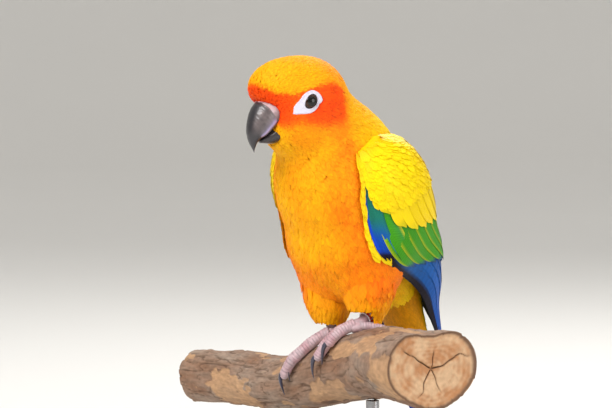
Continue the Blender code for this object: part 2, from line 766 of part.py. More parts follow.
def wing_vane(name, side, root, tip, first, width, depth, step, spread=0.0, stations=(0, 0.4, 0.72, 0.9, 1)):
    """One feather: a thin curved plate from its root to its rounded tip, its front edge the higher one."""
    length = root - tip
    share = np.array(stations, float)[:, None]
    s = root - length * share
    middle = first + width / 2 + spread * share * (0.5 - first - width / 2)
    half = width / 2 * curve(VANE_WIDTH, share) * (1 + 1.4 * spread * share)
    across = np.array([-1.0, 0.0, 1.0])[None]
    u = middle + half * across
    tilt = step / ROW_PITCH * curve({-106: 0.15, -80: 0.4, -60: 0.8, -40: 1.0, 30: 1.0}, s)
    height = dome(s, np.clip(u, 0, 1)) - curve(depth, s) - tilt * (u - first)
    half_thick = VANE_THICK / 2 * curve({0: 1.0, 0.9: 1.0, 1.0: 0.7}, share)
    outer = wing_point(side, s + 0 * u, u, height + half_thick)
    inner = wing_point(side, s + 0 * u, u, height - half_thick)
    return slab(name, outer, inner)


def make_wing(name, side, look):
    """Folded wing: coverts in rows over the secondaries, which lie over the long primaries."""
    core = wing_core(name, side, look)
    vanes = []
    for k, tip in enumerate((-106, -100, -92, -82, -72)):
        depth = {tip: 0.3, tip + 12: 0.5 + 0.3 * k, -50: 2.0, -28: 2.7, -10: 3.0}
        vanes.append(wing_vane(f"primary_{k}", side, -16, tip, 0.03 + 0.16 * k, 0.33, depth, 0.5,
                               0.5 - 0.05 * k))
    for k in range(2):
        depth = {-25: 0.4, -10: 0.5, 2: 0.9, 12: 1.5}
        vanes.append(wing_vane(f"hand_covert_{k}", side, 12, -18 - 5 * k, ROW_PITCH * k, 2 * ROW_PITCH,
                               depth, 0.42))
    for k in range(7):
        first = ROW_PITCH * (k + 2)
        over = float(curve({0: 0, 1: -5, 3: -14, 5: -20, 6: -18}, k))
        tip = float(curve({0: -31, 2: -37, 5: -48, 6: -46}, k))
        depth = {tip: 0.3, over - 12: 0.35, over: 1.0, over + 10: 1.9}
        vanes.append(wing_vane(f"secondary_{k}", side, over + 10, tip, first, 2 * ROW_PITCH, depth, 0.42))
        depth = {over: 0.4, over + 6: 0.5, 10: 1.5}
        vanes.append(wing_vane(f"greater_covert_{k}", side, 10, over, first, 2 * ROW_PITCH, depth, 0.42,
                               0.0, (0, 0.55, 0.86, 1)))
    return fuse(core, vanes, "MANIFOLD")


TAIL_ROOT = spine(TAIL_CUT - GAP)[0]
TAIL_DOWN = -heading(TAIL_PITCH, 0.0)
TAIL_UP = np.cross(TAIL_DOWN, (-1.0, 0, 0))
TAIL_WIDE = {0: 13.0, 0.15: 11.4, 0.32: 10.6, 0.6: 12.4, 0.85: 9.0, 1.0: 5.0}
TAIL_DEEP = {0: 9.0, 0.15: 6.0, 0.32: 3.2, 1.0: 3.0}
TAIL_LENGTHS = (135, 127, 115, 102, 89, 77)
VANE_STEP = 0.42


def tail_ring(share, grow=0.0, segments=20):
    """Oval cross-section of the covered root of the tail."""
    turn = np.arange(segments) * 2 * math.pi / segments
    wide = grow + float(curve(TAIL_WIDE, share))
    deep = grow + float(curve(TAIL_DEEP, share))
    middle = TAIL_ROOT + TAIL_DOWN * TAIL_LENGTH * share
    return middle + deep * np.cos(turn)[:, None] * TAIL_UP + wide * np.sin(turn)[:, None] * BODY[1]


def tail_vane(name, side, k, level):
    """One tail feather: a straight plate, a little arched across, from its root to its pointed tip."""
    length = TAIL_LENGTHS[k]
    share = np.array([0.08, 0.4, 0.68, 0.9, 1.0])[:, None]
    half = 6.0 * curve({0: 0.7, 0.4: 0.9, 0.68: 1.0, 0.9: 0.68, 1: 0.12}, share)
    x = side * (0.9 + 0.8 * k) * curve({0: 0.7, 0.6: 1.1, 1: 0.8}, share) + half * np.array([[-1.0, 0.0, 1.0]])
    height = 2.3 - VANE_STEP * level - 0.011 * x * x
    down = share * length + 0 * x
    middle = TAIL_ROOT + down[..., None] * TAIL_DOWN + x[..., None] * BODY[1]
    half_thick = (VANE_THICK / 2 * curve({0: 1.0, 0.9: 1.0, 1: 0.75}, share) + 0 * x)[..., None]
    lie = height[..., None] * TAIL_UP
    return slab(name, middle + lie + half_thick * TAIL_UP, middle + lie - half_thick * TAIL_UP)


def make_tail(look):
    """Twelve graduated feathers, the middle pair on top, out of the coverts behind the trunk's rear cut."""
    rings = [ring_points(TAIL_CUT - GAP, segments=20)]
    rings += [tail_ring(share) for share in (0.08, 0.16, 0.24, 0.33)]
    coverts = loft("tail", rings, look)
    vanes = []
    for k in range(6):
        for side in (1, -1):
            vanes.append(tail_vane(f"tail_feather_{k}_{side + 1}", side, k, 2 * k + (side < 0)))
    return fuse(coverts, vanes, "MANIFOLD")


def tail_space():
    """The room that the tail takes, grown by the gap, to keep the wings clear of it."""
    rings = [ring_points(TAIL_CUT - GAP, level=GAP, segments=20)]
    rings += [tail_ring(share, GAP + 0.1) for share in (0.08, 0.16, 0.24, 0.33, 0.5, 0.65)]
    return loft("tail_cutter", rings)


def main():
    global PARTS
    for thing in list(bpy.data.objects):
        bpy.data.objects.remove(thing)
    PARTS = bpy.data.collections.new("sun_conure")
    bpy.context.scene.collection.children.link(PARTS)
    orange = material("orange_feather", (0.90, 0.24, 0.01), 0.75)
    face = material("face_feather", (0.80, 0.08, 0.01), 0.75)
    yellow = material("yellow_feather", (0.95, 0.72, 0.01), 0.7)
    green = material("tail_feather", (0.10, 0.22, 0.04), 0.6)
    horn = material("bill_horn", (0.035, 0.03, 0.032), 0.35)
    cere_skin = material("cere_skin", (0.45, 0.40, 0.40), 0.6)
    bare = material("eye_skin", (0.78, 0.78, 0.86), 0.6)
    dark = material("eye_dark", (0.02, 0.012, 0.01), 0.08)
    foot_skin = material("foot_skin", (0.52, 0.42, 0.40), 0.65)
    red = material("ring_plastic", (0.70, 0.05, 0.08), 0.4)
    steel = material("ring_metal", (0.55, 0.55, 0.56), 0.35, 1.0)
    wood = material("perch_bark", (0.27, 0.18, 0.12), 0.85)
    plinth = material("stand_paint", (0.05, 0.05, 0.055), 0.5)
    rod_steel = material("rod_steel", (0.55, 0.55, 0.56), 0.3, 1.0)

    trunk_piece("torso", TAIL_CUT, NECK_CUT - GAP / 2, TORSO_ROWS, orange)
    trunk_piece("neck", NECK_CUT + GAP / 2, HEAD_CUT - GAP / 2, NECK_ROWS, orange)
    head = head_piece("head", face)
    for side, word in ((1, "left"), (-1, "right")):
        carve(head, make_eye("socket", side, dark, GAP))
        make_eye("eye_" + word, side, dark)
        make_lids("lids_" + word, side, bare)
        make_thigh("thigh_" + word, side, yellow)
        make_foot("foot_" + word, side, foot_skin)
        wing = make_wing("wing_" + word, side, yellow)
        carve(wing, tail_space(), "MANIFOLD")
        carve(wing, trunk_room(GAP), "MANIFOLD")
        merge_flat(wing, 1.8)
    socket = [bill_ring(part, GAP + 0.4) for part in np.linspace(-0.02, 1.0, 8)]
    carve(head, loft("bill_socket", socket))
    jaw = [lower_ring(part, GAP) for part in np.linspace(0.0, 1.0, 8)]
    carve(head, loft("jaw_socket", jaw))
    make_bill_upper(horn)
    make_bill_lower(horn)
    make_cere(cere_skin)
    make_ring(1, red)
    make_ring(-1, steel)
    make_tail(green)
    make_perch(wood)
    make_base(plinth)
    make_rod("stand_rod_left", ROD_SPREAD, rod_steel)
    make_rod("stand_rod_right", -ROD_SPREAD, rod_steel)


main()
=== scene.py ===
import math

import bpy
import numpy as np
from mathutils import Matrix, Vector
from bpy.props import FloatProperty, FloatVectorProperty, PointerProperty


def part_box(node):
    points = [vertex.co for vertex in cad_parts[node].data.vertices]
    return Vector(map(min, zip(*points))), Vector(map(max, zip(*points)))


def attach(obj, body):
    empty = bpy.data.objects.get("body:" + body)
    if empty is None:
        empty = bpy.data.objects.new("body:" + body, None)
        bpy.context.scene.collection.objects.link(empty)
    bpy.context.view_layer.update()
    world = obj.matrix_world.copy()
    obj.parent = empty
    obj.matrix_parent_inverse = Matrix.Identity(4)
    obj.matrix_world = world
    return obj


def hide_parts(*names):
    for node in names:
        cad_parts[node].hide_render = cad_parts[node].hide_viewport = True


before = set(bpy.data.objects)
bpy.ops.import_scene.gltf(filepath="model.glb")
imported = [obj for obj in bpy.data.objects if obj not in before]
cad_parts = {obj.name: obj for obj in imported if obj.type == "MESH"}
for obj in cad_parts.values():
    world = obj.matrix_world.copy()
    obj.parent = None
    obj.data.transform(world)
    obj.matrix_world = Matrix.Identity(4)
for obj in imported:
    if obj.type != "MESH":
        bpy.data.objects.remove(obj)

bl_info = {
    "name": "Perched sun conure",
    "version": (1, 0, 0),
    "blender": (4, 5, 0),
    "location": "3D View > Sidebar > Sun conure",
    "description": "Skin, feathers, bill, feet, perch and stage of a life-size sun conure model",
    "category": "Object",
}

# Lengths are millimetres, measured from the top of the perch, and become metres where a mesh is made
MM = 0.001
PERCH_TOP = 132.0
LIFT = np.array([0.0, 0.0, PERCH_TOP])
GAP = 0.3
SEED = 20

# The trunk, neck and head
BODY_PITCH = math.radians(60)
BODY_CENTRE = (-5.0, 58.0)
SPINE_Q = {-60: -13.0, -40: -10.0, -20: -4.0, 5: -2.0, 26: -2.0}
NECK_START = 26.0
HEAD_BEND_LENGTH = 41.0
FACE_PLACE = NECK_START + HEAD_BEND_LENGTH
FACE_STEPS = 12.0
HEAD_PITCH = math.radians(-12)
FACE_PITCH = math.radians(-6)
HEAD_YAW = math.radians(17)
RAY_LIFT = {26: 0.0, 45: 3.0, 67: 6.0}
TAIL_CUT = -46.0
BODY_BLEND = 2.6
EYES_AT = (-2.0, 29.0, 106.0)

# The wings and the tail
WING_LEAD = {34: 106, 24: 114, 11: 122, -6: 127, -18: 126, -30: 122, -45: 112, -60: 102, -80: 94, -100: 84}
WING_REAR = {34: 74, 24: 50, 11: 38, -6: 27, -18: 20, -30: 14, -45: 9, -60: 6, -80: 4, -100: 4}
WING_TOP = 33.0
WING_CORE_END = -27.0
WING_HEIGHT = {34: 3.0, 24: 5.0, 15: 5.6, 5: 5.6, -5: 5.2, -15: 4.7, -25: 4.2, -35: 3.7, -45: 3.3, -60: 2.8,
               -80: 2.2, -106: 1.6}
WING_DOME = {0: 0.35, 0.12: 0.9, 0.5: 1.0, 1: 0.5}
VANE_TILT = 3.9
TAIL_LENGTH = 135.0
TAIL_PITCH = math.radians(66)
TAIL_LENGTHS = (135, 127, 115, 102, 89, 77)
TAIL_WIDE = {0: 13.0, 0.15: 11.4, 0.32: 10.6, 0.6: 12.4, 0.85: 9.0, 1.0: 5.0}
TAIL_DEEP = {0: 9.0, 0.15: 6.0, 0.32: 3.2, 1.0: 3.0}

# The perch and the stand
PERCH_TURN = math.radians(16)
PERCH_ENDS = (-118.0, 72.0)
PERCH_AXIS = {-118: -27.0, -88: -26.2, -43: -25.2, 8: -15.0, 37: -10.0, 70: -9.6}
PERCH_GIRTH = {-118: 12.2, -88: 12.6, -43: 13.2, 8: 15.2, 37: 17.0, 70: 19.6}
ROD_SPREAD = 26.0


# Curves and small helpers
def curve(table, at):
    """Cubic through the few values of a table, with the table's own slopes at its keys."""
    keys = np.array(sorted(table), float)
    values = np.array([table[k] for k in sorted(table)], float)
    slopes = np.gradient(values, keys)
    at = np.clip(np.asarray(at, float), keys[0], keys[-1])
    i = np.clip(np.searchsorted(keys, at, side="right") - 1, 0, len(keys) - 2)
    width = keys[i + 1] - keys[i]
    t = (at - keys[i]) / width
    a = (1 + 2 * t) * (1 - t) ** 2
    b = t * (1 - t) ** 2
    c = t * t * (3 - 2 * t)
    d = t * t * (t - 1)
    return a * values[i] + b * width * slopes[i] + c * values[i + 1] + d * width * slopes[i + 1]


def line(table, at):
    """Straight lines between the values of a table."""
    keys = sorted(table)
    return np.interp(at, keys, [table[k] for k in keys])


def smooth(value):
    """Share that eases in and out from 0 to 1: three squares less two cubes."""
    value = np.clip(value, 0.0, 1.0)
    return value * value * (3 - 2 * value)


def unit(vectors):
    """Vectors divided by their lengths."""
    return vectors / (np.linalg.norm(vectors, axis=-1, keepdims=True) + 1e-12)


def arrays(*values):
    """Values as float arrays of one common shape."""
    return np.broadcast_arrays(*(np.asarray(v, float) for v in values))


def noise(points, cell, seed=0):
    """Smooth random value from -1 to 1: hashed values at the corners of cubic cells, blended in between."""
    scaled = points / np.asarray(cell, float)
    base = np.floor(scaled)
    part = smooth(scaled - base)
    total = 0.0
    for corner in np.ndindex(2, 2, 2):
        key = (base + corner).astype(np.int64) @ np.array([73856093, 19349663, 83492791])
        key = (key + seed * 7919) & 0xFFFFFFFF
        key = ((key ^ (key >> 13)) * 1274126177) & 0xFFFFFFFF
        key = key ^ (key >> 16)
        weight = np.prod(np.where(corner, part, 1 - part), axis=-1)
        total = total + weight * ((key % 65536) / 32767.5 - 1)
    return total


def circle(count):
    """Even angles round one full turn."""
    return np.arange(count) * 2 * math.pi / count


def linear(colour):
    """Scene-linear value of a colour given as it looks on a screen."""
    colour = np.asarray(colour[:3], float)
    return np.where(colour <= 0.04045, colour / 12.92, ((colour + 0.055) / 1.055) ** 2.4)


def mixed(first, second, share):
    """Colours between two, one share for each place."""
    share = np.clip(np.asarray(share, float), 0, 1)[..., None]
    return first * (1 - share) + second * share


# Directions of the bird: ahead is -Y and its left is +X
def heading(pitch, yaw):
    """Forward direction of a part that is raised by a pitch and turned to its right by a yaw."""
    pitch, yaw = arrays(pitch, yaw)
    return np.stack([-np.cos(pitch) * np.sin(yaw), -np.cos(pitch) * np.cos(yaw), np.sin(pitch)], axis=-1)


def frame_of(pitch, yaw):
    """Rows are the forward, left and up directions of a part that is raised and turned so."""
    pitch, yaw = arrays(pitch, yaw)
    ahead = heading(pitch, yaw)
    left = np.stack([np.cos(yaw), -np.sin(yaw), np.zeros_like(yaw)], axis=-1)
    return np.stack([ahead, left, np.cross(ahead, left)], axis=-2)


BODY = frame_of(BODY_PITCH, 0.0)
HEAD = frame_of(HEAD_PITCH, HEAD_YAW)
FACE = frame_of(0.0, HEAD_YAW)
CENTRE = np.array([0.0, -BODY_CENTRE[0], BODY_CENTRE[1]])
EYES = np.array([EYES_AT[0], -EYES_AT[1], EYES_AT[2]])


def along(s, q, x=0.0):
    """Point at s along the trunk's axis, q towards the belly and x to the left."""
    s, q, x = arrays(s, q, x)
    return CENTRE + s[..., None] * BODY[0] - q[..., None] * BODY[2] + x[..., None] * BODY[1]


def on_head(ahead, left, up):
    """Point ahead, left and up of the head's middle, in the level frame of the face."""
    ahead, left, up = arrays(ahead, left, up)
    return EYES + ahead[..., None] * FACE[0] + left[..., None] * FACE[1] + up[..., None] * FACE[2]


# The form of the flesh: rounded masses that melt into one another
def mass(centre, axes, radii):
    """Rounded mass: the centre of an ellipsoid, its axes as rows and its radii along them."""
    return np.asarray(centre, float), np.asarray(axes, float), np.asarray(radii, float)


TRUNK_MASSES = [
    mass(along(12, 4), BODY, (32, 26.5, 26)),
    mass(along(-14, 6.5), BODY, (30, 29.5, 26)),
    mass(along(12, -12), BODY, (35, 24, 22)),
    mass(along(-34, -9), BODY, (27, 16.5, 14)),
    mass(along(38, -1.5), BODY, (20, 19, 21.5)),
]
HEAD_MASSES = [
    mass(on_head(-4.5, 0, 2), HEAD, (20.5, 16.0, 18.6)),
    mass(on_head(8.2, 0, 8.6), HEAD, (15.2, 12.6, 10.6)),
    mass(on_head(-1, 6, -8), HEAD, (12.5, 9.5, 11.5)),
    mass(on_head(-1, -6, -8), HEAD, (12.5, 9.5, 11.5)),
    mass(on_head(3, 0, -13), HEAD, (10.5, 9, 8)),
]
MASSES = TRUNK_MASSES + HEAD_MASSES
WING_MASSES = TRUNK_MASSES + [
    mass(along(-40, -12, side * 10), frame_of(math.radians(64), math.radians(-13 * side)), (66, 10, 10))
    for side in (1, -1)
] + [
    mass(along(7, -9.5, side * 18), BODY, (33, 14.2, 19.5)) for side in (1, -1)
] + [
    mass(along(-22, -11, side * 13), BODY, (36, 14, 16)) for side in (1, -1)
]


def field(points, masses=MASSES, blend=BODY_BLEND):
    """Rough distance from the melted masses, below zero inside: a soft minimum of scaled ellipsoids."""
    depths = []
    for centre, axes, radii in masses:
        local = (points - centre) @ axes.T / radii
        k = np.linalg.norm(local, axis=-1)
        g = np.linalg.norm(local / radii, axis=-1) + 1e-9
        depths.append(k * (k - 1) / g)
    depths = np.array(depths)
    low = depths.min(axis=0)
    return low - blend * np.log(np.exp(-(depths - low) / blend).sum(axis=0))


def reach(starts, directions, level=0.0, far=60.0, masses=MASSES):
    """Point on each ray where the masses end, level millimetres outside them, by halving."""
    low = np.zeros(starts.shape[:-1])
    high = np.full(starts.shape[:-1], far)
    for _ in range(20):
        middle = (low + high) / 2
        inside = field(starts + middle[..., None] * directions, masses) < level
        low = np.where(inside, middle, low)
        high = np.where(inside, high, middle)
    return starts + high[..., None] * directions


def normals_at(points):
    """Outward directions: differences of the field over a small step, made one long."""
    step = 0.05
    slope = np.stack([
        field(points + step * axis) - field(points - step * axis) for axis in np.eye(3)
    ], axis=-1)
    return unit(slope)


def settle(points, height):
    """Move points along the outward direction until they lie at a height over the masses."""
    for _ in range(2):
        out = normals_at(points)
        points = points - (field(points) - height)[..., None] * out
    return points, out


def neck_line():
    """Shares along the bend of the neck, and the centre line there, as a sum of short steps."""
    shares = np.linspace(0, 1, 97)
    middle = (shares[1:] + shares[:-1]) / 2
    pitch = BODY_PITCH + (FACE_PITCH - BODY_PITCH) * middle
    steps = heading(pitch, HEAD_YAW * middle) * HEAD_BEND_LENGTH / 96
    start = along(NECK_START, curve(SPINE_Q, NECK_START))
    return shares, start + np.concatenate([np.zeros((1, 3)), np.cumsum(steps, axis=0)])


NECK_SHARES, NECK_CENTRES = neck_line()


def spine(place):
    """Centre and frame of the cross-section at places along the bird, from tail to face."""
    place = np.asarray(place, float)
    share = np.clip((place - NECK_START) / HEAD_BEND_LENGTH, 0, 1)
    bent = np.stack([np.interp(share, NECK_SHARES, NECK_CENTRES[:, k]) for k in range(3)], axis=-1)
    straight = along(place, curve(SPINE_Q, place))
    centre = np.where((place > NECK_START)[..., None], bent, straight)
    return centre, frame_of(BODY_PITCH + (FACE_PITCH - BODY_PITCH) * share, HEAD_YAW * share)


def bird_point(place, turn, level=0.0):
    """Surface of trunk, neck and head: where a ray from the spine leaves the masses; past the face's
    place the rays lean ahead until they meet in one point."""
    place, turn = arrays(place, turn)
    tilt = np.clip((place - FACE_PLACE) / FACE_STEPS, 0, 1)[..., None] * math.pi / 2
    place = np.minimum(place, FACE_PLACE)
    centre, axes = spine(place)
    out = np.cos(turn)[..., None] * axes[..., 2, :] + np.sin(turn)[..., None] * axes[..., 1, :]
    rays = np.cos(tilt) * out + np.sin(tilt) * axes[..., 0, :]
    starts = centre + curve(RAY_LIFT, place)[..., None] * axes[..., 2, :]
    return reach(starts, rays, level)


# Meshes
def mesh_piece(name, points, faces, look, nodes=(), tint=None, loop_maps=None, sharp=None):
    """Make a piece from points in millimetres, let it ride on the body and stand for its nodes."""
    mesh = bpy.data.meshes.new(name)
    if isinstance(faces, np.ndarray):
        mesh.vertices.add(len(points))
        mesh.vertices.foreach_set("co", ((points + LIFT) * MM).astype(np.float32).ravel())
        mesh.loops.add(faces.size)
        mesh.loops.foreach_set("vertex_index", faces.astype(np.int32).ravel())
        mesh.polygons.add(len(faces))
        mesh.polygons.foreach_set("loop_start", np.arange(0, faces.size, faces.shape[1], dtype=np.int32))
        mesh.update(calc_edges=True)
    else:
        mesh.from_pydata(((points + LIFT) * MM).tolist(), [], faces)
        mesh.update()
    corners = np.empty(len(mesh.loops), np.int32)
    mesh.loops.foreach_get("vertex_index", corners)
    for label, values in (loop_maps or {}).items():
        layer = mesh.uv_layers.new(name=label)
        layer.data.foreach_set("uv", values[corners].astype(np.float32).ravel())
    if tint is not None:
        paint(mesh, tint)
    if sharp is not None:
        pairs = np.empty(len(mesh.edges) * 2, np.int32)
        mesh.edges.foreach_get("vertices", pairs)
        mark = mesh.attributes.new("sharp_edge", "BOOLEAN", "EDGE")
        mark.data.foreach_set("value", sharp(pairs.reshape(-1, 2)))
    mesh.polygons.foreach_set("use_smooth", np.ones(len(mesh.polygons), bool))
    mesh.materials.append(look)
    return settle_piece(linked(name, mesh), nodes)


def linked(name, data):
    """New object of the scene with its mesh, lamp or camera."""
    thing = bpy.data.objects.new(name, data)
    bpy.context.scene.collection.objects.link(thing)
    return thing


def settle_piece(thing, nodes=()):
    """Let a piece ride on the body and let it stand for its nodes."""
    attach(thing, "root")
    if nodes:
        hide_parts(*nodes)
    return thing


def paint(mesh, tint):
    """Store one colour for each point as the attribute that the feather finishes read."""
    layer = mesh.attributes.new("tint", "FLOAT_COLOR", "POINT")
    values = np.ones((len(tint), 4), np.float32)
    values[:, :3] = np.clip(tint, 0, 1)
    layer.data.foreach_set("color", values.ravel())


def grid_faces(rows, columns, cap_start=True, cap_end=True):
    """Faces over rows of points that close on themselves, with a fan to a middle point at each end."""
    index = np.arange(rows * columns).reshape(rows, columns)
    right = np.roll(index, -1, axis=1)
    faces = np.stack([index[:-1], right[:-1], right[1:], index[1:]], axis=-1).reshape(-1, 4).tolist()
    end = rows * columns
    if cap_start:
        faces += np.stack([right[0], index[0], np.full(columns, end)], axis=-1).tolist()
        end += 1
    if cap_end:
        faces += np.stack([index[-1], right[-1], np.full(columns, end)], axis=-1).tolist()
    return faces


def tube(rings, start=None, end=None):
    """Points and faces of a closed tube through rings of equal count, from one middle point to another."""
    rings = np.asarray(rings)
    start = rings[0].mean(axis=0) if start is None else start
    end = rings[-1].mean(axis=0) if end is None else end
    points = np.concatenate([rings.reshape(-1, 3), [start], [end]])
    return points, grid_faces(*rings.shape[:2])


def closed_band(rings, outward, probe=0):
    """Points and faces of a band that closes on itself both ways, turned so that the face with the
    number probe looks outward."""
    count, sides = rings.shape[:2]
    index = np.arange(count * sides).reshape(count, sides)
    below, right = np.roll(index, -1, axis=0), np.roll(index, -1, axis=1)
    faces = np.stack([index, right, np.roll(below, -1, axis=1), below], axis=-1).reshape(-1, 4)
    points = rings.reshape(-1, 3)
    first, second, _, last = points[faces[probe]]
    if np.cross(second - first, last - first) @ outward < 0:
        faces = np.ascontiguousarray(faces[:, ::-1])
    return points, faces


def capped(tint):
    """Colours of a tube's rings, then those of its two middle points."""
    ends = [tint[end].mean(axis=0)[None] for end in (0, -1)]
    return np.concatenate([tint.reshape(-1, 3), *ends])


def facing_out(points, faces):
    """The same faces, turned over when the closed surface they make encloses a negative volume."""
    fans = np.array([(f[0], f[k], f[k + 1]) for f in faces for k in range(1, len(f) - 1)])
    a, b, c = (points[fans[:, k]] for k in range(3))
    if np.einsum("ij,ij->i", a - points.mean(axis=0), np.cross(b - a, c - a)).sum() < 0:
        return [tuple(reversed(f)) for f in faces]
    return faces


def joined(parts):
    """One list of points and faces from several closed surfaces."""
    points, faces, count = [], [], 0
    for some, corners in parts:
        faces += [tuple(k + count for k in f) for f in facing_out(some, corners)]
        points.append(some)
        count += len(some)
    return np.concatenate(points), faces


def sweep_rings(path, radii, sides, sideways):
    """Rings round a path: each lies square to the path, with a steady sideways direction."""
    path = np.asarray(path, float)
    ahead = unit(np.gradient(path, axis=0))
    side = np.broadcast_to(np.asarray(sideways, float), path.shape)
    side = unit(side - ahead * np.einsum("ij,ij->i", side, ahead)[:, None])
    up = np.cross(ahead, side)
    turn = circle(sides)
    radii = np.asarray(radii, float)
    radii = radii[:, None] if radii.ndim == 1 else radii
    around = np.cos(turn)[None, :, None] * side[:, None] + np.sin(turn)[None, :, None] * up[:, None]
    return path[:, None] + radii[..., None] * around


# Vanes: thin closed plates with a front and a back that share their rim
def vane_template(stations, columns):
    """Corner numbers of the faces of one vane, and which of its points lie on the rim."""
    front = np.arange(stations * columns).reshape(stations, columns)
    back = front.copy()
    back[1:-1, 1:-1] = stations * columns + np.arange((stations - 2) * (columns - 2)).reshape(
        stations - 2, columns - 2)
    faces = []
    for grid, order in ((front, (0, 3, 2, 1)), (back, (0, 1, 2, 3))):
        corners = (grid[:-1, :-1], grid[:-1, 1:], grid[1:, 1:], grid[1:, :-1])
        faces.append(np.stack([corners[k] for k in order], axis=-1).reshape(-1, 4))
    rim = np.ones((stations, columns), bool)
    rim[1:-1, 1:-1] = False
    return np.concatenate(faces), rim


def vanes_piece(name, front, out, thick, tint, look, nodes=(), home=None):
    """Piece of many vanes. front holds each vane's front points by vane, station and column, out the
    outward directions there; the back lies thick behind it. home gives each root's place, from 0 to 1,
    on the unwrap of the skin."""
    count, stations, columns = front.shape[:3]
    faces, rim = vane_template(stations, columns)
    inner = (slice(None), slice(1, -1), slice(1, -1))

    def both(values):
        """Values of the front's points, then of the back's points inside the rim."""
        whole = values.reshape(count, stations * columns, -1)
        behind = values[inner].reshape(count, (stations - 2) * (columns - 2), -1)
        return np.concatenate([whole, behind], axis=1)

    points = both(front)
    size = points.shape[1]
    points[:, stations * columns:] -= (thick[..., None] * out)[inner].reshape(count, -1, 3)
    across = np.broadcast_to(np.linspace(0, 1, columns), (count, stations, columns))
    length = np.broadcast_to(np.linspace(0, 1, stations)[:, None], (count, stations, columns))
    vane = both(np.stack([across, length], axis=-1)).reshape(-1, 2)
    maps = {"vane": vane}
    if home is not None:
        spot = np.repeat(home, size, axis=0)
        maps["OFBake"] = np.clip(spot * 0.996 + (vane - 0.5) * 0.003 + 0.002, 0, 1)
    everything = (faces[None] + np.arange(count)[:, None, None] * size).reshape(-1, 4)
    on_rim = np.concatenate([rim.ravel(), np.zeros(size - rim.size, bool)])

    def sharp(pairs):
        """Edges between two rim points that run along one side or one end."""
        local = pairs % size
        column = local % columns
        row = local // columns
        ends = on_rim[local[:, 0]] & on_rim[local[:, 1]] & (local < rim.size).all(axis=1)
        same_side = (column[:, 0] == column[:, 1]) & np.isin(column[:, 0], (0, columns - 1))
        same_end = (row[:, 0] == row[:, 1]) & np.isin(row[:, 0], (0, stations - 1))
        return ends & (same_side | same_end)

    return mesh_piece(name, points.reshape(-1, 3), everything, look, nodes,
                      both(tint).reshape(-1, 3), maps, sharp)


TUFT_DOWN = np.array([0.0, 0.3, 0.62, 0.88, 1.0])[None, :, None]
TUFT_ACROSS = np.array([-1.0, 0.0, 1.0])[None, None]
TUFT_WIDTH = {0: 0.45, 0.3: 0.92, 0.62: 1.0, 0.88: 0.7, 1: 0.22}
TUFT_THICK = 0.16
WING_TUFT_THICK = 0.18
RISE_POWER = 0.8


def tuft_run(tip):
    """Stations from root to tip, the middle of the tip farther out by a share, so that it is round."""
    return TUFT_DOWN + tip * (TUFT_DOWN > 0.99) * (TUFT_ACROSS == 0)


def tuft_over(width):
    """Distances of a tuft's points from its middle line: half the width, less at root and tip."""
    return width[:, None, None] / 2 * curve(TUFT_WIDTH, TUFT_DOWN) * TUFT_ACROSS


def staggered(counts):
    """Numbers of the feathers in each row, every second row half a step on."""
    return np.concatenate([np.arange(n) + 0.5 * (k % 2) for k, n in enumerate(counts)])


def tuft_tint(base, tip, rng, spread=0.07):
    """Colour of each tuft: its root's colour with painted shade near the root, where the other tufts lie over
    it, its tip towards a second colour, each tuft with its own brightness."""
    t, a = TUFT_DOWN[..., None], np.abs(TUFT_ACROSS)[..., None]
    bright = 1 + spread * rng.standard_normal(len(base))
    colour = base[:, None, None] * (1 - t) + tip[:, None, None] * t
    # 0.92 rising to 1 from the root: painted shade where the other tufts lie over the root
    return colour * bright[:, None, None, None] * (0.92 + 0.08 * smooth(t * 1.6)) * (1 + 0.05 * a * t)


def body_tufts(roots, ahead, sizes, heights, rng):
    """Tufts that follow the masses: each point of the flat outline drops to its height over them."""
    length, width = sizes
    out = normals_at(roots)
    angle = 0.14 * rng.standard_normal(len(roots))
    side = np.cross(out, ahead)
    ahead = unit(ahead * np.cos(angle)[:, None] + side * np.sin(angle)[:, None])
    side = unit(np.cross(out, ahead))
    down = length[:, None, None] * tuft_run(0.06)
    lie = (roots[:, None, None] + down[..., None] * ahead[:, None, None]
           + tuft_over(width)[..., None] * side[:, None, None])
    low, high = heights
    height = (low[:, None, None] + (high - low)[:, None, None] * TUFT_DOWN ** RISE_POWER
              - 0.1 * width[:, None, None] * np.abs(TUFT_ACROSS))
    shape = lie.shape
    settled, away = settle(lie.reshape(-1, 3), height.reshape(-1))
    return settled.reshape(shape), away.reshape(shape)


# The markings, the same for skin and coat
RED_TOP = {-21: 1.0, -18: 6.0, -12: 9.4, -6: 8.9, 0: 7.7, 5.7: 6.0, 9.9: 3.5, 17: 5.2, 21.6: 7.4, 23: 8.9}
RED_LOW = {-21: 0.0, -19: -4.0, -15.5: -8.3, -7.6: -8.9, 0.4: -9.0, 7: -8.6, 12: -9.5}


def body_place(points):
    """Distances of points along the trunk, towards the belly and to the left."""
    rel = points - CENTRE
    return rel @ BODY[0], -(rel @ BODY[2]), rel @ BODY[1]


def head_place(points):
    """Distances of points ahead, left and up of the head's middle."""
    rel = points - EYES
    return rel @ FACE[0], rel @ FACE[1], rel @ FACE[2]


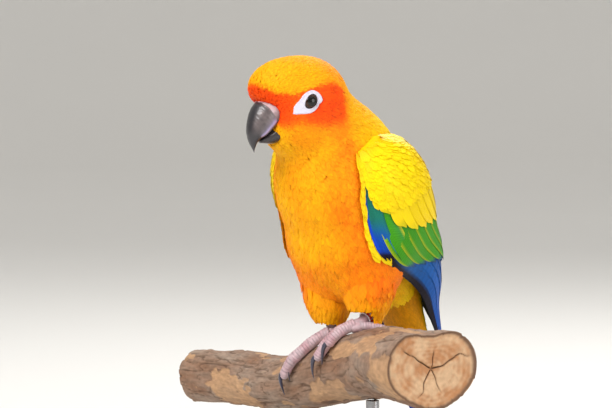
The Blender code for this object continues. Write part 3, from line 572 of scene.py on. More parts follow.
def plumage(points, colours):
    """Colour of the coat at each place: golden above, flanks and belly orange, a red face with soft borders,
    mottled by noise, and painted shade that dulls the vent."""
    s, q, x = body_place(points)
    a, _, u = head_place(points)
    blotch = 0.6 * noise(points, 7.0, 1) + 0.4 * noise(points, 3.2, 2)
    wide = noise(points, 15.0, 3)
    gold, amber = linear(colours.gold), linear(colours.amber)
    orange, red = linear(colours.orange), linear(colours.red)
    lemon, under_tail_shade = linear(colours.lemon), linear(colours.under_tail_shade)
    front = smooth((q + 6) / 12)
    flank = smooth((np.abs(x) - 9) / 14)
    low = smooth((6 - s) / 44)
    warm = 0.14 + 0.55 * flank + 0.42 * low + 0.34 * blotch + 0.25 * wide
    breast = mixed(gold, orange, warm)
    mantle = mixed(lemon, gold, 0.35 + 0.3 * blotch + 0.5 * smooth((s - 24) / 20))
    colour = mixed(mantle, breast, front)
    # painted shade: the vent, under the tail, dulled towards a darker colour
    vent_shade = smooth((-26 - s) / 12) * smooth((q + 2) / 8)
    colour = mixed(colour, under_tail_shade, 0.55 * vent_shade * (1 + blotch))
    on_top = smooth((s - 34) / 8)
    behind = smooth((-a - 2) / 12) * smooth((u - 4) / 8)
    crown = mixed(gold, amber, 0.30 - 0.02 * a + 0.45 * blotch + 0.4 * behind)
    nape = mixed(crown, gold, smooth((-a - 17) / 6) * smooth((14 - u) / 8))
    paler = 0.5 * smooth((a - 3) / 10) + 0.4 * smooth((-u - 15) / 8)
    cheek = mixed(gold, orange, 0.55 + 0.35 * blotch - paler)
    head = mixed(nape, cheek, smooth((2 - u) / 8) * smooth((a + 20) / 5))
    colour = mixed(colour, head, on_top)
    ragged = 1.1 * blotch
    top = smooth((line(RED_TOP, a) - u + ragged) / (1.6 + 1.6 * smooth((-a - 2) / 8)) + 0.5)
    under = smooth((u - line(RED_LOW, a) + 1.6 * ragged) / 5.5 + 0.5)
    back = smooth((a + 19.0 + 2.2 * ragged + 0.14 * u) / 5.5 + 0.5)
    mask = top * under * back * smooth((s - 30) / 6)
    vivid = mixed(red, orange, 0.24 + 0.22 * blotch + 0.25 * smooth((a - 2) / 4) * smooth((12 - a) / 4))
    return mixed(colour, vivid, mask)


# Places that the coat leaves free
PATCH_REACH = {0: 7.1, 15: 5.0, 30: 4.2, 60: 3.8, 90: 3.9, 120: 4.5, 150: 4.8, 166: 5.0, 180: 5.1, 187: 5.3,
               210: 3.4, 240: 3.4, 273: 4.0, 300: 5.0, 318: 6.0, 330: 7.4, 338: 9.3, 346: 8.5, 360: 7.1}
EYE_AHEAD = 2.2
EYE_UP = 1.2
EYE_RADIUS = 4.2
EYE_SINK = 2.6
HOLE_LONG = 3.6
HOLE_SHORT = 2.6
HOLE_TURN = math.radians(140)

BILL_TOP = {0.0: (14.0, 3.2), 0.15: (18.6, 2.0), 0.35: (22.6, -2.0), 0.55: (24.7, -8.0),
            0.75: (25.0, -13.6), 0.9: (24.0, -17.8), 1.0: (22.6, -20.4)}
BILL_EDGE = {0.0: (9.0, -7.2), 0.15: (11.2, -8.8), 0.35: (14.4, -12.0), 0.55: (17.2, -14.5),
             0.75: (20.0, -15.8), 0.9: (21.4, -17.8), 1.0: (22.0, -20.2)}
BILL_WIDTH = {0.0: 7.4, 0.15: 7.5, 0.35: 7.0, 0.55: 5.8, 0.75: 4.2, 0.9: 2.4, 1.0: 0.9}
BILL_TIP = (21.9, -21.9)
CERE_PART = 0.21
NOSTRIL = (15.8, 5.7, -0.3)
LOWER_TOP = {0.0: (8.0, -6.6), 0.5: (13.7, -11.0), 1.0: (19.3, -16.2)}
LOWER_KEEL = {0.0: (7.6, -16.6), 0.5: (13.0, -18.0), 1.0: (18.7, -17.6)}
LOWER_WIDTH = {0.0: 6.9, 0.5: 5.8, 1.0: 1.6}


def pair_curve(table, at):
    """Cubics through a table of pairs: one row for the first values, one for the second."""
    return np.array([curve({k: v[i] for k, v in table.items()}, at) for i in (0, 1)])


def in_patch(points, grow=0.0):
    """Whether points lie in the bare skin round an eye."""
    inside = np.zeros(points.shape[:-1], bool)
    for side in (1, -1):
        spot, out, ahead, up = eye_place(side)
        rel = points - spot
        a, u = rel @ ahead, rel @ up
        turn = np.degrees(np.arctan2(u, a)) % 360
        inside |= (np.hypot(a, u) < line(PATCH_REACH, turn) + grow) & (np.abs(rel @ out) < 8)
    return inside


def in_bill(points, grow=0.0):
    """Whether points lie in the bill or cere, tested against cross-sections all along them."""
    a, side, u = head_place(points)
    blocked = np.zeros(a.shape, bool)
    for high, low, wide in ((BILL_TOP, BILL_EDGE, BILL_WIDTH), (LOWER_TOP, LOWER_KEEL, LOWER_WIDTH)):
        part = np.linspace(0, 1, 60)
        top, edge = pair_curve(high, part), pair_curve(low, part)
        middle, rise = (top + edge) / 2, (top - edge) / 2
        size = np.linalg.norm(rise, axis=0)
        rel = np.stack([a[..., None] - middle[0], u[..., None] - middle[1]])
        h = (rel[0] * rise[0] + rel[1] * rise[1]) / size ** 2
        off = np.abs(rel[0] * rise[1] - rel[1] * rise[0]) / size
        half = curve(wide, part) * np.sqrt(np.clip(1 - h ** 2, 0.05, 1)) + grow
        hit = (np.abs(h) < 1 + grow / size) & (off < 0.5) & (np.abs(side)[..., None] < half)
        blocked |= hit.any(axis=-1)
    return blocked


def nostril_gap(points):
    """Distance from points to the middle of the nearer nostril."""
    spots = [on_head(NOSTRIL[0], side * NOSTRIL[1], NOSTRIL[2]) for side in (1, -1)]
    return np.min([np.linalg.norm(points - spot, axis=-1) for spot in spots], axis=0)


def under_wing(points, margin):
    """Whether points lie under a folded wing, margin degrees inside its edges."""
    s, _, x = body_place(points)
    side = np.sign(x)
    start, _ = wing_rays(side, s, np.zeros_like(s))
    rel = points - start
    angle = np.degrees(np.arctan2(side * (rel @ BODY[1]), rel @ BODY[2]))
    covered = (angle > curve(WING_REAR, s) + margin) & (angle < curve(WING_LEAD, s) - margin)
    return covered & (s < WING_TOP - 4) & (s > -52)


def free_share(roots, ahead, length, blocked):
    """Share of each tuft's length that stays clear of blocked places."""
    free = np.ones(len(roots))
    for k in range(10, 0, -1):
        spot = roots + (ahead * length[:, None]) * k / 10
        free = np.where(blocked(spot), (k - 1) / 10, free)
    return np.where(blocked(roots), 0.0, free)


# The wings' surface
WING_AXIS_Q = {-110: -8.5, -60: -10.5, -40: -10.0, -20: -5.0, 10: -3.0, 38: -3.0}
WING_AXIS_X = {-110: 4.5, -80: 3.5, -50: 0.0, 38: 0.0}


def wing_rays(side, s, u):
    """Start and direction of the rays on which the wing's points lie; u runs from front to back edge."""
    start = along(s, curve(WING_AXIS_Q, s), side * curve(WING_AXIS_X, s))
    angle = np.radians(curve(WING_LEAD, s) * (1 - u) + curve(WING_REAR, s) * u)
    sideways = (side * np.sin(angle))[..., None]
    return start, np.cos(angle)[..., None] * BODY[2] + sideways * BODY[1]


WING_S = np.linspace(-110, 40, 216)
WING_U = np.linspace(-0.15, 1.15, 66)


def wing_reach(side):
    """Table of the distance from the rays' starts to the smooth form of one folded wing."""
    s, u = np.meshgrid(WING_S, WING_U, indexing="ij")
    start, ray = wing_rays(side, s, u)
    wing = np.linalg.norm(reach(start, ray, 0.0, 60.0, WING_MASSES) - start, axis=-1)
    trunk = np.linalg.norm(reach(start, ray) - start, axis=-1)
    settled = 0.55 * smooth((u - 0.7) / 0.3) * smooth((s + 42) / 20)
    return wing - settled * (wing - trunk)


WING_REACH = {side: wing_reach(side) for side in (1, -1)}


def wing_point(side, s, u, height):
    """Point of the wing at s along the trunk, height above the smooth form, read between table values."""
    s, u, height = arrays(s, u, height)
    row = np.clip((s - WING_S[0]) / (WING_S[1] - WING_S[0]), 0, len(WING_S) - 1.001)
    column = np.clip((u - WING_U[0]) / (WING_U[1] - WING_U[0]), 0, len(WING_U) - 1.001)
    i, j = row.astype(int), column.astype(int)
    f, g = row - i, column - j
    table = WING_REACH[side]
    distance = ((table[i, j] * (1 - g) + table[i, j + 1] * g) * (1 - f)
                + (table[i + 1, j] * (1 - g) + table[i + 1, j + 1] * g) * f)
    start, ray = wing_rays(side, s, u)
    return start + (distance + height)[..., None] * ray, ray


def dome(s, u):
    """Height of the wing's outermost feathers above the smooth form."""
    return curve(WING_HEIGHT, s) * curve(WING_DOME, np.clip(u, 0, 1))


# Shader node helpers
def add(tree, kind, settings=None, **inputs):
    """One shader node; a value or link goes to the input whose name it has, _ standing for a space."""
    made = tree.nodes.new(kind)
    for key, value in (settings or {}).items():
        setattr(made, key, value)
    for key, value in inputs.items():
        join(tree, value, made.inputs[key.replace("_", " ")])
    return made


def join(tree, value, socket):
    """Give a socket a value, or link it to the output of another node."""
    if isinstance(value, bpy.types.NodeSocket):
        tree.links.new(value, socket)
    elif isinstance(value, (tuple, list, np.ndarray)) and socket.type == "RGBA":
        socket.default_value = (*tuple(float(v) for v in value)[:3], 1.0)
    else:
        socket.default_value = value


def maths(tree, operation, first, second=0.0):
    """Output of a node that does one sum with two values or links."""
    made = tree.nodes.new("ShaderNodeMath")
    made.operation = operation
    join(tree, first, made.inputs[0])
    join(tree, second, made.inputs[1])
    return made.outputs[0]


def times_plus(tree, value, factor, offset):
    """Output of a node that gives a value times a factor, plus an offset."""
    made = maths(tree, "MULTIPLY_ADD", value, factor)
    made.node.inputs[2].default_value = offset
    return made


def colour_mix(tree, share, first, second, mode="MIX"):
    """Output of a node that mixes or multiplies two colours by a share."""
    made = tree.nodes.new("ShaderNodeMix")
    made.data_type = "RGBA"
    made.blend_type = mode
    join(tree, share, made.inputs[0])
    join(tree, first, made.inputs[6])
    join(tree, second, made.inputs[7])
    return made.outputs[2]


def ramp(tree, value, low, high):
    """Share that runs smoothly from 0 at the low value to 1 at the high one."""
    made = add(tree, "ShaderNodeMapRange", {"interpolation_type": "SMOOTHSTEP"}, Value=value)
    made.inputs["From Min"].default_value = low
    made.inputs["From Max"].default_value = high
    return made.outputs[0]


def object_noise(tree, scale):
    """Noise over the object's own coordinates, scale in cells a millimetre."""
    place = add(tree, "ShaderNodeTexCoord").outputs["Object"]
    mapped = add(tree, "ShaderNodeMapping", None, Vector=place, Scale=(1000 * scale,) * 3).outputs[0]
    grain = add(tree, "ShaderNodeTexNoise", None, Vector=mapped, Scale=1.0, Detail=3.0, Roughness=0.5)
    return grain.outputs["Fac"]


def new_group(name, inputs, outputs):
    """Empty shader node group with named sockets, each a kind and a default."""
    tree = bpy.data.node_groups.new(name, "ShaderNodeTree")
    for label, kind, value in inputs:
        socket = tree.interface.new_socket(label, in_out="INPUT", socket_type=kind)
        socket.default_value = value
    for label, kind in outputs:
        tree.interface.new_socket(label, in_out="OUTPUT", socket_type=kind)
    return tree, tree.nodes.new("NodeGroupInput"), tree.nodes.new("NodeGroupOutput")


def vane_group():
    """Barbs and shaft of a feather: slanting lines that run out from the shaft, with a thin ridge along its
    middle. Puts out their height and the painted shade in the grooves between the barbs, which darkens the
    colour."""
    known = bpy.data.node_groups.get("feather_barbs")
    if known:
        return known
    tree, given, result = new_group(
        "feather_barbs",
        [("Barbs", "NodeSocketFloat", 40.0), ("Shaft", "NodeSocketFloat", 0.5),
         ("Slant", "NodeSocketFloat", 0.4)],
        [("Height", "NodeSocketFloat"), ("Shade", "NodeSocketFloat")])
    place = add(tree, "ShaderNodeUVMap", {"uv_map": "vane"}).outputs[0]
    parts = add(tree, "ShaderNodeSeparateXYZ", None, Vector=place)
    off = maths(tree, "ABSOLUTE", maths(tree, "SUBTRACT", parts.outputs["X"], 0.5))
    slant = maths(tree, "MULTIPLY", off, given.outputs["Slant"])
    run = maths(tree, "SUBTRACT", parts.outputs["Y"], slant)
    ragged = maths(tree, "MULTIPLY", object_noise(tree, 0.5), 0.04)
    phase = maths(tree, "MULTIPLY", maths(tree, "ADD", run, ragged), given.outputs["Barbs"])
    lines = times_plus(tree, maths(tree, "SINE", phase), 0.5, 0.5)
    ridge = maths(tree, "SUBTRACT", 1.0, ramp(tree, off, 0.0, 0.045))
    height = maths(tree, "ADD", lines, maths(tree, "MULTIPLY", ridge, given.outputs["Shaft"]))
    # painted shade: darkest in the grooves between the barbs, where the height is lowest
    shade = maths(tree, "SUBTRACT", 1.0, lines)
    tree.links.new(height, result.inputs["Height"])
    tree.links.new(shade, result.inputs["Shade"])
    return tree


def grain_group():
    """Uneven surface: large and small noise over the object's coordinates, as one value and its height."""
    known = bpy.data.node_groups.get("uneven_grain")
    if known:
        return known
    tree, given, result = new_group(
        "uneven_grain",
        [("Coarse", "NodeSocketFloat", 0.2), ("Fine", "NodeSocketFloat", 2.0)],
        [("Value", "NodeSocketFloat"), ("Height", "NodeSocketFloat")])
    place = add(tree, "ShaderNodeTexCoord").outputs["Object"]
    values = []
    for label, detail in (("Coarse", 4.0), ("Fine", 2.0)):
        scale = maths(tree, "MULTIPLY", given.outputs[label], 1000.0)
        cloud = add(tree, "ShaderNodeTexNoise", None, Vector=place, Scale=scale, Detail=detail)
        values.append(cloud.outputs["Fac"])
    tree.links.new(values[0], result.inputs["Value"])
    tree.links.new(maths(tree, "ADD", values[0], values[1]), result.inputs["Height"])
    return tree


def new_material(name, roughness, metallic=0.0, coat=0.0, specular=0.5):
    """New material, its node tree and its shader, with the shader's plain values set."""
    look = bpy.data.materials.new(name)
    look.use_nodes = True
    tree = look.node_tree
    shader = tree.nodes["Principled BSDF"]
    shader.inputs["Roughness"].default_value = roughness
    shader.inputs["Metallic"].default_value = metallic
    shader.inputs["Coat Weight"].default_value = coat
    shader.inputs["Specular IOR Level"].default_value = specular
    return look, tree, shader


def bump(tree, shader, height, strength, distance):
    """Feed a height, in shares of a distance in millimetres, to the shader's normal."""
    made = add(tree, "ShaderNodeBump", None, Height=height, Strength=strength, Distance=distance * MM)
    tree.links.new(made.outputs[0], shader.inputs["Normal"])


def placed(tree, group, **inputs):
    """Node that holds a shared group, with its inputs filled."""
    made = tree.nodes.new("ShaderNodeGroup")
    made.node_tree = group
    for key, value in inputs.items():
        join(tree, value, made.inputs[key])
    return made


def shaded_tint(tree, shader, kept):
    """Base colour: the colour stored for each point, times a grey share that is kept."""
    tint = add(tree, "ShaderNodeAttribute", {"attribute_name": "tint"}).outputs["Color"]
    grey = add(tree, "ShaderNodeCombineColor", None, Red=kept, Green=kept, Blue=kept).outputs[0]
    tree.links.new(colour_mix(tree, 1.0, tint, grey, "MULTIPLY"), shader.inputs["Base Color"])


def feather_finish(name, barbs, shaft, slant, darken, relief, roughness=0.62):
    """Feather in its own colours, with barbs that raise it and painted shade in the grooves between them."""
    known = bpy.data.materials.get(name)
    if known:
        return known
    look, tree, shader = new_material(name, roughness, specular=0.16)
    vane = placed(tree, vane_group(), Barbs=barbs, Shaft=shaft, Slant=slant)
    # painted shade between the barbs, as strong as the share darken
    shade = maths(tree, "MULTIPLY", vane.outputs["Shade"], darken)
    shaded_tint(tree, shader, maths(tree, "SUBTRACT", 1.0, shade))
    bump(tree, shader, vane.outputs["Height"], 0.6, relief)
    return look


def soft_finish():
    """Finish that the feathers of body, thighs and tail root share."""
    return feather_finish("soft_feather", barbs=26.0, shaft=0.25, slant=0.5, darken=0.10, relief=0.04)


def down_finish():
    """The skin under the coat: downy, in the coat's own colours."""
    look, tree, shader = new_material("downy_skin", 0.85, specular=0.1)
    grain = placed(tree, grain_group(), Coarse=0.6, Fine=3.0)
    shaded_tint(tree, shader, times_plus(tree, grain.outputs["Value"], 0.3, 0.7))
    bump(tree, shader, grain.outputs["Height"], 0.5, 0.3)
    return look


def painted_finish(name, roughness, coarse, fine, relief, coat=0.0, spread=0.2, specular=0.5):
    """Surface that carries its own colours, made uneven by the shared grain."""
    known = bpy.data.materials.get(name)
    if known:
        return known
    look, tree, shader = new_material(name, roughness, coat=coat, specular=specular)
    shader.inputs["Coat Roughness"].default_value = 0.12
    grain = placed(tree, grain_group(), Coarse=coarse, Fine=fine)
    shaded_tint(tree, shader, times_plus(tree, grain.outputs["Value"], spread, 1.0 - spread / 2))
    varied = times_plus(tree, grain.outputs["Value"], 0.16, roughness - 0.08)
    tree.links.new(varied, shader.inputs["Roughness"])
    bump(tree, shader, grain.outputs["Height"], 0.5, relief)
    return look


def metal_finish(name, colour, roughness):
    """Metal that the shared grain makes unevenly dark and rough."""
    look, tree, shader = new_material(name, roughness, metallic=1.0)
    grain = placed(tree, grain_group(), Coarse=0.3, Fine=1.5)
    share = maths(tree, "MULTIPLY", grain.outputs["Value"], 0.35)
    base = colour_mix(tree, share, linear(colour), linear(colour) * 0.75)
    tree.links.new(base, shader.inputs["Base Color"])
    varied = times_plus(tree, grain.outputs["Value"], 0.2, roughness - 0.1)
    tree.links.new(varied, shader.inputs["Roughness"])
    bump(tree, shader, grain.outputs["Height"], 0.15, 0.02)
    return look


def paint_finish(name, colour, roughness):
    """Satin paint on the stand, with a faint orange-peel texture and dust."""
    look, tree, shader = new_material(name, roughness)
    grain = placed(tree, grain_group(), Coarse=0.05, Fine=0.9)
    share = ramp(tree, grain.outputs["Value"], 0.35, 0.75)
    base = colour_mix(tree, share, linear(colour), linear(colour) * 1.5 + 0.004)
    tree.links.new(base, shader.inputs["Base Color"])
    bump(tree, shader, grain.outputs["Height"], 0.12, 0.06)
    return look


# The skin: one surface for trunk, neck, head, thighs, wing arms and the root of the tail
LEG_PLACE = {1: 15.0, -1: -5.0}
HUB_TURN = 0.12
HEEL = {1: (2.0, 11.0, 6.2), -1: (-1.0, 6.0, 8.0)}
THIGH_TOP = (13.0, -8.0, 34.0)
THIGH_BOW = np.array([0, -2.0, 0])
TARSUS_START = np.array([0, 0, -0.6])
THIGH_GIRTH = {0: 9.0, 0.3: 11.6, 0.6: 11.4, 0.85: 8.6, 1: 5.4, 1.3: 4.9}
PERCH_DIRECTION = np.array([math.cos(PERCH_TURN), -math.sin(PERCH_TURN), 0.0])
PERCH_FRONT = np.array([-math.sin(PERCH_TURN), -math.cos(PERCH_TURN), 0.0])
UPWARD = np.array([0.0, 0.0, 1.0])


def bark_radius(place, turn):
    """Distance from the perch's axis to its surface; turn 0 is up and a quarter turn is the front."""
    girth = curve(PERCH_GIRTH, place)
    swell = smooth((place - 18) / 50)
    flattened = np.cos(turn) ** 2 * (0.14 + 0.08 * np.cos(turn))
    girth = girth * (1 + swell * (0.27 * np.sin(turn) ** 2 - flattened))
    knots = 0.035 * np.sin(3 * turn + place / 17.0) + 0.02 * np.sin(5 * turn - place / 9.0)
    return girth * (1 + knots)


def perch_point(place, turn, above=0.0):
    """Point of the bark: out from the perch's axis by the radius at a place and turn, and what is above."""
    place, turn, above = arrays(place, turn, above)
    axis = place[..., None] * PERCH_DIRECTION + curve(PERCH_AXIS, place)[..., None] * UPWARD
    radius = (bark_radius(place, turn) + above)[..., None]
    return axis + radius * (np.cos(turn)[..., None] * UPWARD + np.sin(turn)[..., None] * PERCH_FRONT)


def leg_points(side):
    """Place along the perch, hub of the toes and heel of one leg."""
    place = LEG_PLACE[side]
    hub = perch_point(place, HUB_TURN, 3.2)
    return place, hub, hub + np.array(HEEL[side])


# Leg rings, left and right: share along the leg, height and node
TARSUS_RADIUS = 2.4
RING_INNER = TARSUS_RADIUS + 0.3
RING_OUTER = RING_INNER + 0.7
RINGS = {1: (0.68, 3.8, "ring_red"), -1: (0.5, 1.4, "ring_metal")}


def ring_middle(side):
    """Middle and axis of a leg ring."""
    _, hub, heel = leg_points(side)
    return hub + TARSUS_START + (heel - hub) * RINGS[side][0], unit(heel - hub)


def thigh_line(side):
    """Top of the thigh, in the belly, and its lower end, a little ahead of and below the heel."""
    _, _, heel = leg_points(side)
    return np.array([side * THIGH_TOP[0], -THIGH_TOP[1], THIGH_TOP[2]]), heel + np.array([0, -2.5, -4.6])


def thigh_point(side, share, turn, height=0.0):
    """Point of the feathered thigh: a tube from belly to heel that bows a little ahead."""
    share, turn, height = arrays(share, turn, height)
    top, bottom = thigh_line(side)
    bow = np.clip(share, 0, 1) * math.pi
    centre = top + (bottom - top) * share[..., None] + THIGH_BOW * np.sin(bow)[..., None]
    ahead = unit((bottom - top) + math.pi * THIGH_BOW * np.cos(bow)[..., None])
    side_way = unit(np.array([1.0, 0, 0]) - ahead * ahead[..., :1])
    up = np.cross(ahead, side_way)
    out = np.cos(turn)[..., None] * side_way + np.sin(turn)[..., None] * up
    radius = (line(THIGH_GIRTH, share) * 0.5 + curve(THIGH_GIRTH, share) * 0.5 + height)[..., None]
    return centre + radius * out, out


def thigh_gap(points):
    """Distance from points to the nearer thigh's surface, negative inside it."""
    nearest = np.full(points.shape[:-1], 99.0)
    for side in (1, -1):
        top, bottom = thigh_line(side)
        share = np.clip((points - top) @ (bottom - top) / ((bottom - top) @ (bottom - top)), 0.05, 1.0)
        bow = THIGH_BOW * np.sin(share * math.pi)[..., None]
        centre = top + (bottom - top) * share[..., None] + bow
        nearest = np.minimum(nearest, np.linalg.norm(points - centre, axis=-1) - line(THIGH_GIRTH, share))
    return nearest


def fillet(distance):
    """Height that fills the crease between two forms, from the distance to the other form."""
    return 1.7 * np.exp(-(distance / 3.2) ** 2) + np.clip(-distance, 0, 2.5)


TAIL_ROOT = spine(TAIL_CUT - GAP)[0]
TAIL_DOWN = -heading(TAIL_PITCH, 0.0)
TAIL_UP = np.cross(TAIL_DOWN, (-1.0, 0, 0))


def tail_point(share, turn, height=0.0):
    """Point of the covered root of the tail, an oval tube that thins towards the feathers."""
    share, turn, height = arrays(share, turn, height)
    wide = curve(TAIL_WIDE, share) + height
    deep = curve(TAIL_DEEP, share) + height
    middle = TAIL_ROOT + TAIL_DOWN * (TAIL_LENGTH * share)[..., None]
    out = np.cos(turn)[..., None] * TAIL_UP + np.sin(turn)[..., None] * BODY[1]
    return (middle + (deep * np.cos(turn))[..., None] * TAIL_UP
            + (wide * np.sin(turn))[..., None] * BODY[1]), out


ARM_DEPTH = {-27: 3.0, -18: 2.1, -6: 1.5, 18: 1.2, 26: 0.9, 33: 0.8}
SKIN_DEPTH = {-50: 1.0, 30: 1.0, 46: 0.7, 79: 0.6}


def wing_arm(side, depth):
    """Closed body of the wing's fleshy front: over the trunk, under the small feathers."""
    s = np.linspace(WING_TOP - 1, WING_CORE_END, 40)[:, None]
    u = np.linspace(0.02, 0.98, 30)[None]
    sunk = curve(ARM_DEPTH, s) * depth / 1.2
    outer, ray = wing_point(side, s, u, dome(s, u) - sunk - 0.8 * (1 - smooth(u / 0.2)))
    start, _ = wing_rays(side, s, u)
    inner = reach(start, ray, -1.5)
    near = np.minimum(np.linalg.norm(inner - start, axis=-1), np.linalg.norm(outer - start, axis=-1) - 2.2)
    inner = start + near[..., None] * ray
    return tube(np.concatenate([outer, inner[:, ::-1]], axis=1))


def make_skin(colours, sizes):
    """Tubes of trunk, thighs, wing arms and tail root, melted together by a voxel remesh."""
    depth = sizes.coat_depth / MM
    turns = circle(96)
    places = np.concatenate([np.linspace(TAIL_CUT - 4, FACE_PLACE, 100),
                             FACE_PLACE + FACE_STEPS * np.linspace(0.05, 0.97, 20)])
    level = -depth * curve(SKIN_DEPTH, places)[:, None]
    parts = [tube(bird_point(places[:, None], turns[None], level))]
    shares = np.linspace(0, 0.84, 24)[:, None]
    for side in (1, -1):
        parts.append(tube(thigh_point(side, shares, turns[None], -depth)[0]))
        parts.append(wing_arm(side, depth))
    parts.append(tube(tail_point(np.linspace(-0.02, 0.33, 16)[:, None], turns[None], -1.1)[0]))
    points, faces = joined(parts)
    mesh = bpy.data.meshes.new("flesh")
    mesh.from_pydata(((points + LIFT) * MM).tolist(), [], faces)
    flesh = linked("flesh", mesh)
    melt = flesh.modifiers.new("Melt", "REMESH")
    melt.mode = "VOXEL"
    melt.voxel_size = sizes.skin_voxel
    ease = flesh.modifiers.new("Ease", "SMOOTH")
    ease.factor = 0.5
    ease.iterations = 5
    view = bpy.context.evaluated_depsgraph_get()
    skin_mesh = bpy.data.meshes.new_from_object(flesh.evaluated_get(view))
    bpy.data.objects.remove(flesh)
    skin_mesh.name = "skin"
    places = np.empty(len(skin_mesh.vertices) * 3, np.float32)
    skin_mesh.vertices.foreach_get("co", places)
    places = places.reshape(-1, 3) / MM - LIFT
    tint = plumage(places, colours)
    along_body, _, x = body_place(places)
    on_wing = smooth(field(places) / 1.5 + 0.8) * smooth((along_body + 30) / 3) * smooth((np.abs(x) - 14) / 4)
    paint(skin_mesh, mixed(tint, linear(colours.lemon), on_wing) * 0.94)
    skin_mesh.polygons.foreach_set("use_smooth", np.ones(len(skin_mesh.polygons), bool))
    skin_mesh.materials.clear()
    skin_mesh.materials.append(down_finish())
    settle_piece(linked("skin", skin_mesh),
                 ("torso", "neck", "head", "thigh_left", "thigh_right"))


# The body's coat: name, first and last place, spacing, length, width and depth
COAT_PIECES = (
    ("coat_face", 52.0, 78.6, 0.82, 2.9, 1.15, 0.7),
    ("coat_crown", 39.0, 52.0, 0.98, 4.4, 1.5, 0.8),
    ("coat_neck", 24.0, 39.0, 1.2, 6.2, 2.1, 0.9),
    ("coat_breast", -10.0, 24.0, 1.45, 7.6, 2.8, 1.0),
    ("coat_belly", -48.0, -10.0, 1.6, 8.4, 3.2, 1.1),
)


PATCH_MARGIN = 0.35
BILL_MARGIN = 0.85
NOSTRIL_MARGIN = 1.5


def body_rows(first, last, spacing, rng):
    """Roots in staggered rows round the body, jittered, and thinned where the neck's bend crowds them.
    Returns their places, turns, points and the direction in which the coat lies there."""
    places = np.linspace(first, last, 40)
    turns = circle(36)
    rings = bird_point(places[:, None], turns[None])
    girths = np.linalg.norm(np.roll(rings, 1, axis=1) - rings, axis=-1).sum(axis=1)
    stretch = np.linalg.norm(np.gradient(rings, places, axis=0), axis=-1).max(axis=1)
    run = np.concatenate([[0], np.cumsum((stretch[1:] + stretch[:-1]) / 2 * np.diff(places))])
    row_places = np.interp(np.arange(spacing / 2, run[-1], spacing), run, places)
    counts = np.maximum(6, np.interp(row_places, places, girths) / (0.85 * spacing)).astype(int)
    place = np.repeat(row_places, counts)
    step = 2 * math.pi / np.repeat(counts, counts)
    order = staggered(counts)
    widest = np.interp(place, places, stretch)
    place = place + 0.28 * spacing / widest * rng.standard_normal(len(place))
    place = np.clip(place, first, min(last + 0.5, FACE_PLACE + FACE_STEPS * 0.985))
    turn = (order + 0.22 * rng.standard_normal(len(place))) * step
    roots = bird_point(place, turn)
    ahead = (bird_point(place - 0.4, turn) - roots) / 0.4
    local = np.linalg.norm(ahead, axis=-1)
    kept = rng.random(len(place)) < 1.35 * local / widest
    return place[kept], turn[kept], roots[kept], unit(ahead[kept])


def make_body_coat(colours, sizes):
    """Tufts over head, neck and trunk, smallest on the face, kept clear of eyes, bill and wings."""
    look = soft_finish()
    gold = linear(colours.gold)
    for number, (name, first, last, spacing, length, width, deep) in enumerate(COAT_PIECES):
        rng = np.random.default_rng(SEED + number)
        place, turn, roots, ahead = body_rows(first, last, spacing * sizes.spacing, rng)
        long = length * sizes.length * (1 + 0.16 * rng.standard_normal(len(roots)))
        lowered = smooth((place - 60) / 8)
        long = np.clip(long * (1 - 0.25 * lowered), 0.5 * length, 1.5 * length)

        def blocked(spots):
            """Places of bare eye skin, bill and nostrils, with a margin round each."""
            return (in_patch(spots, PATCH_MARGIN) | in_bill(spots, BILL_MARGIN)
                    | (nostril_gap(spots) < NOSTRIL_MARGIN))

        free = free_share(roots, ahead, long, blocked)
        kept = (free > 0.45) & ~under_wing(roots, 9.0)
        roots, ahead, long, free = roots[kept], ahead[kept], long[kept] * free[kept], free[kept]
        wide = width * (0.55 + 0.45 * free) * (1 + 0.12 * rng.standard_normal(len(roots)))
        high = 0.14 * deep * (1 + 0.7 * rng.standard_normal(len(roots)))
        front, out = body_tufts(roots, ahead, (long, wide), (np.full(len(roots), -0.7 * deep), high), rng)
        if last < 30:
            front = front + fillet(thigh_gap(front))[..., None] * out
        base = plumage(roots, colours)
        ends = plumage(roots + ahead * long[:, None], colours)
        tip = mixed(ends, gold, 0.10 + 0.16 * rng.random(len(roots)) * (place[kept] < 40))
        tint = tuft_tint(base, tip, rng)
        thick = np.full(front.shape[:3], TUFT_THICK)
        home = np.stack([(turn[kept] / (2 * math.pi)) % 1, (place[kept] - first) / (last - first)], axis=-1)
        home = np.clip(home, 0, 1)
        on_left = np.sin(turn[kept]) >= 0
        for word, part in (("left", on_left), ("right", ~on_left)):
            vanes_piece(name + "_" + word, front[part], out[part], thick[part], tint[part], look,
                        home=home[part])


# How far above each leg ring, and to the right of it as the camera sees it, the coat stays away
RING_CLEAR = {1: (2.2, 3.4), -1: (0.8, 2.0)}
RING_ASIDE = np.array([0.77, 0.64, 0])


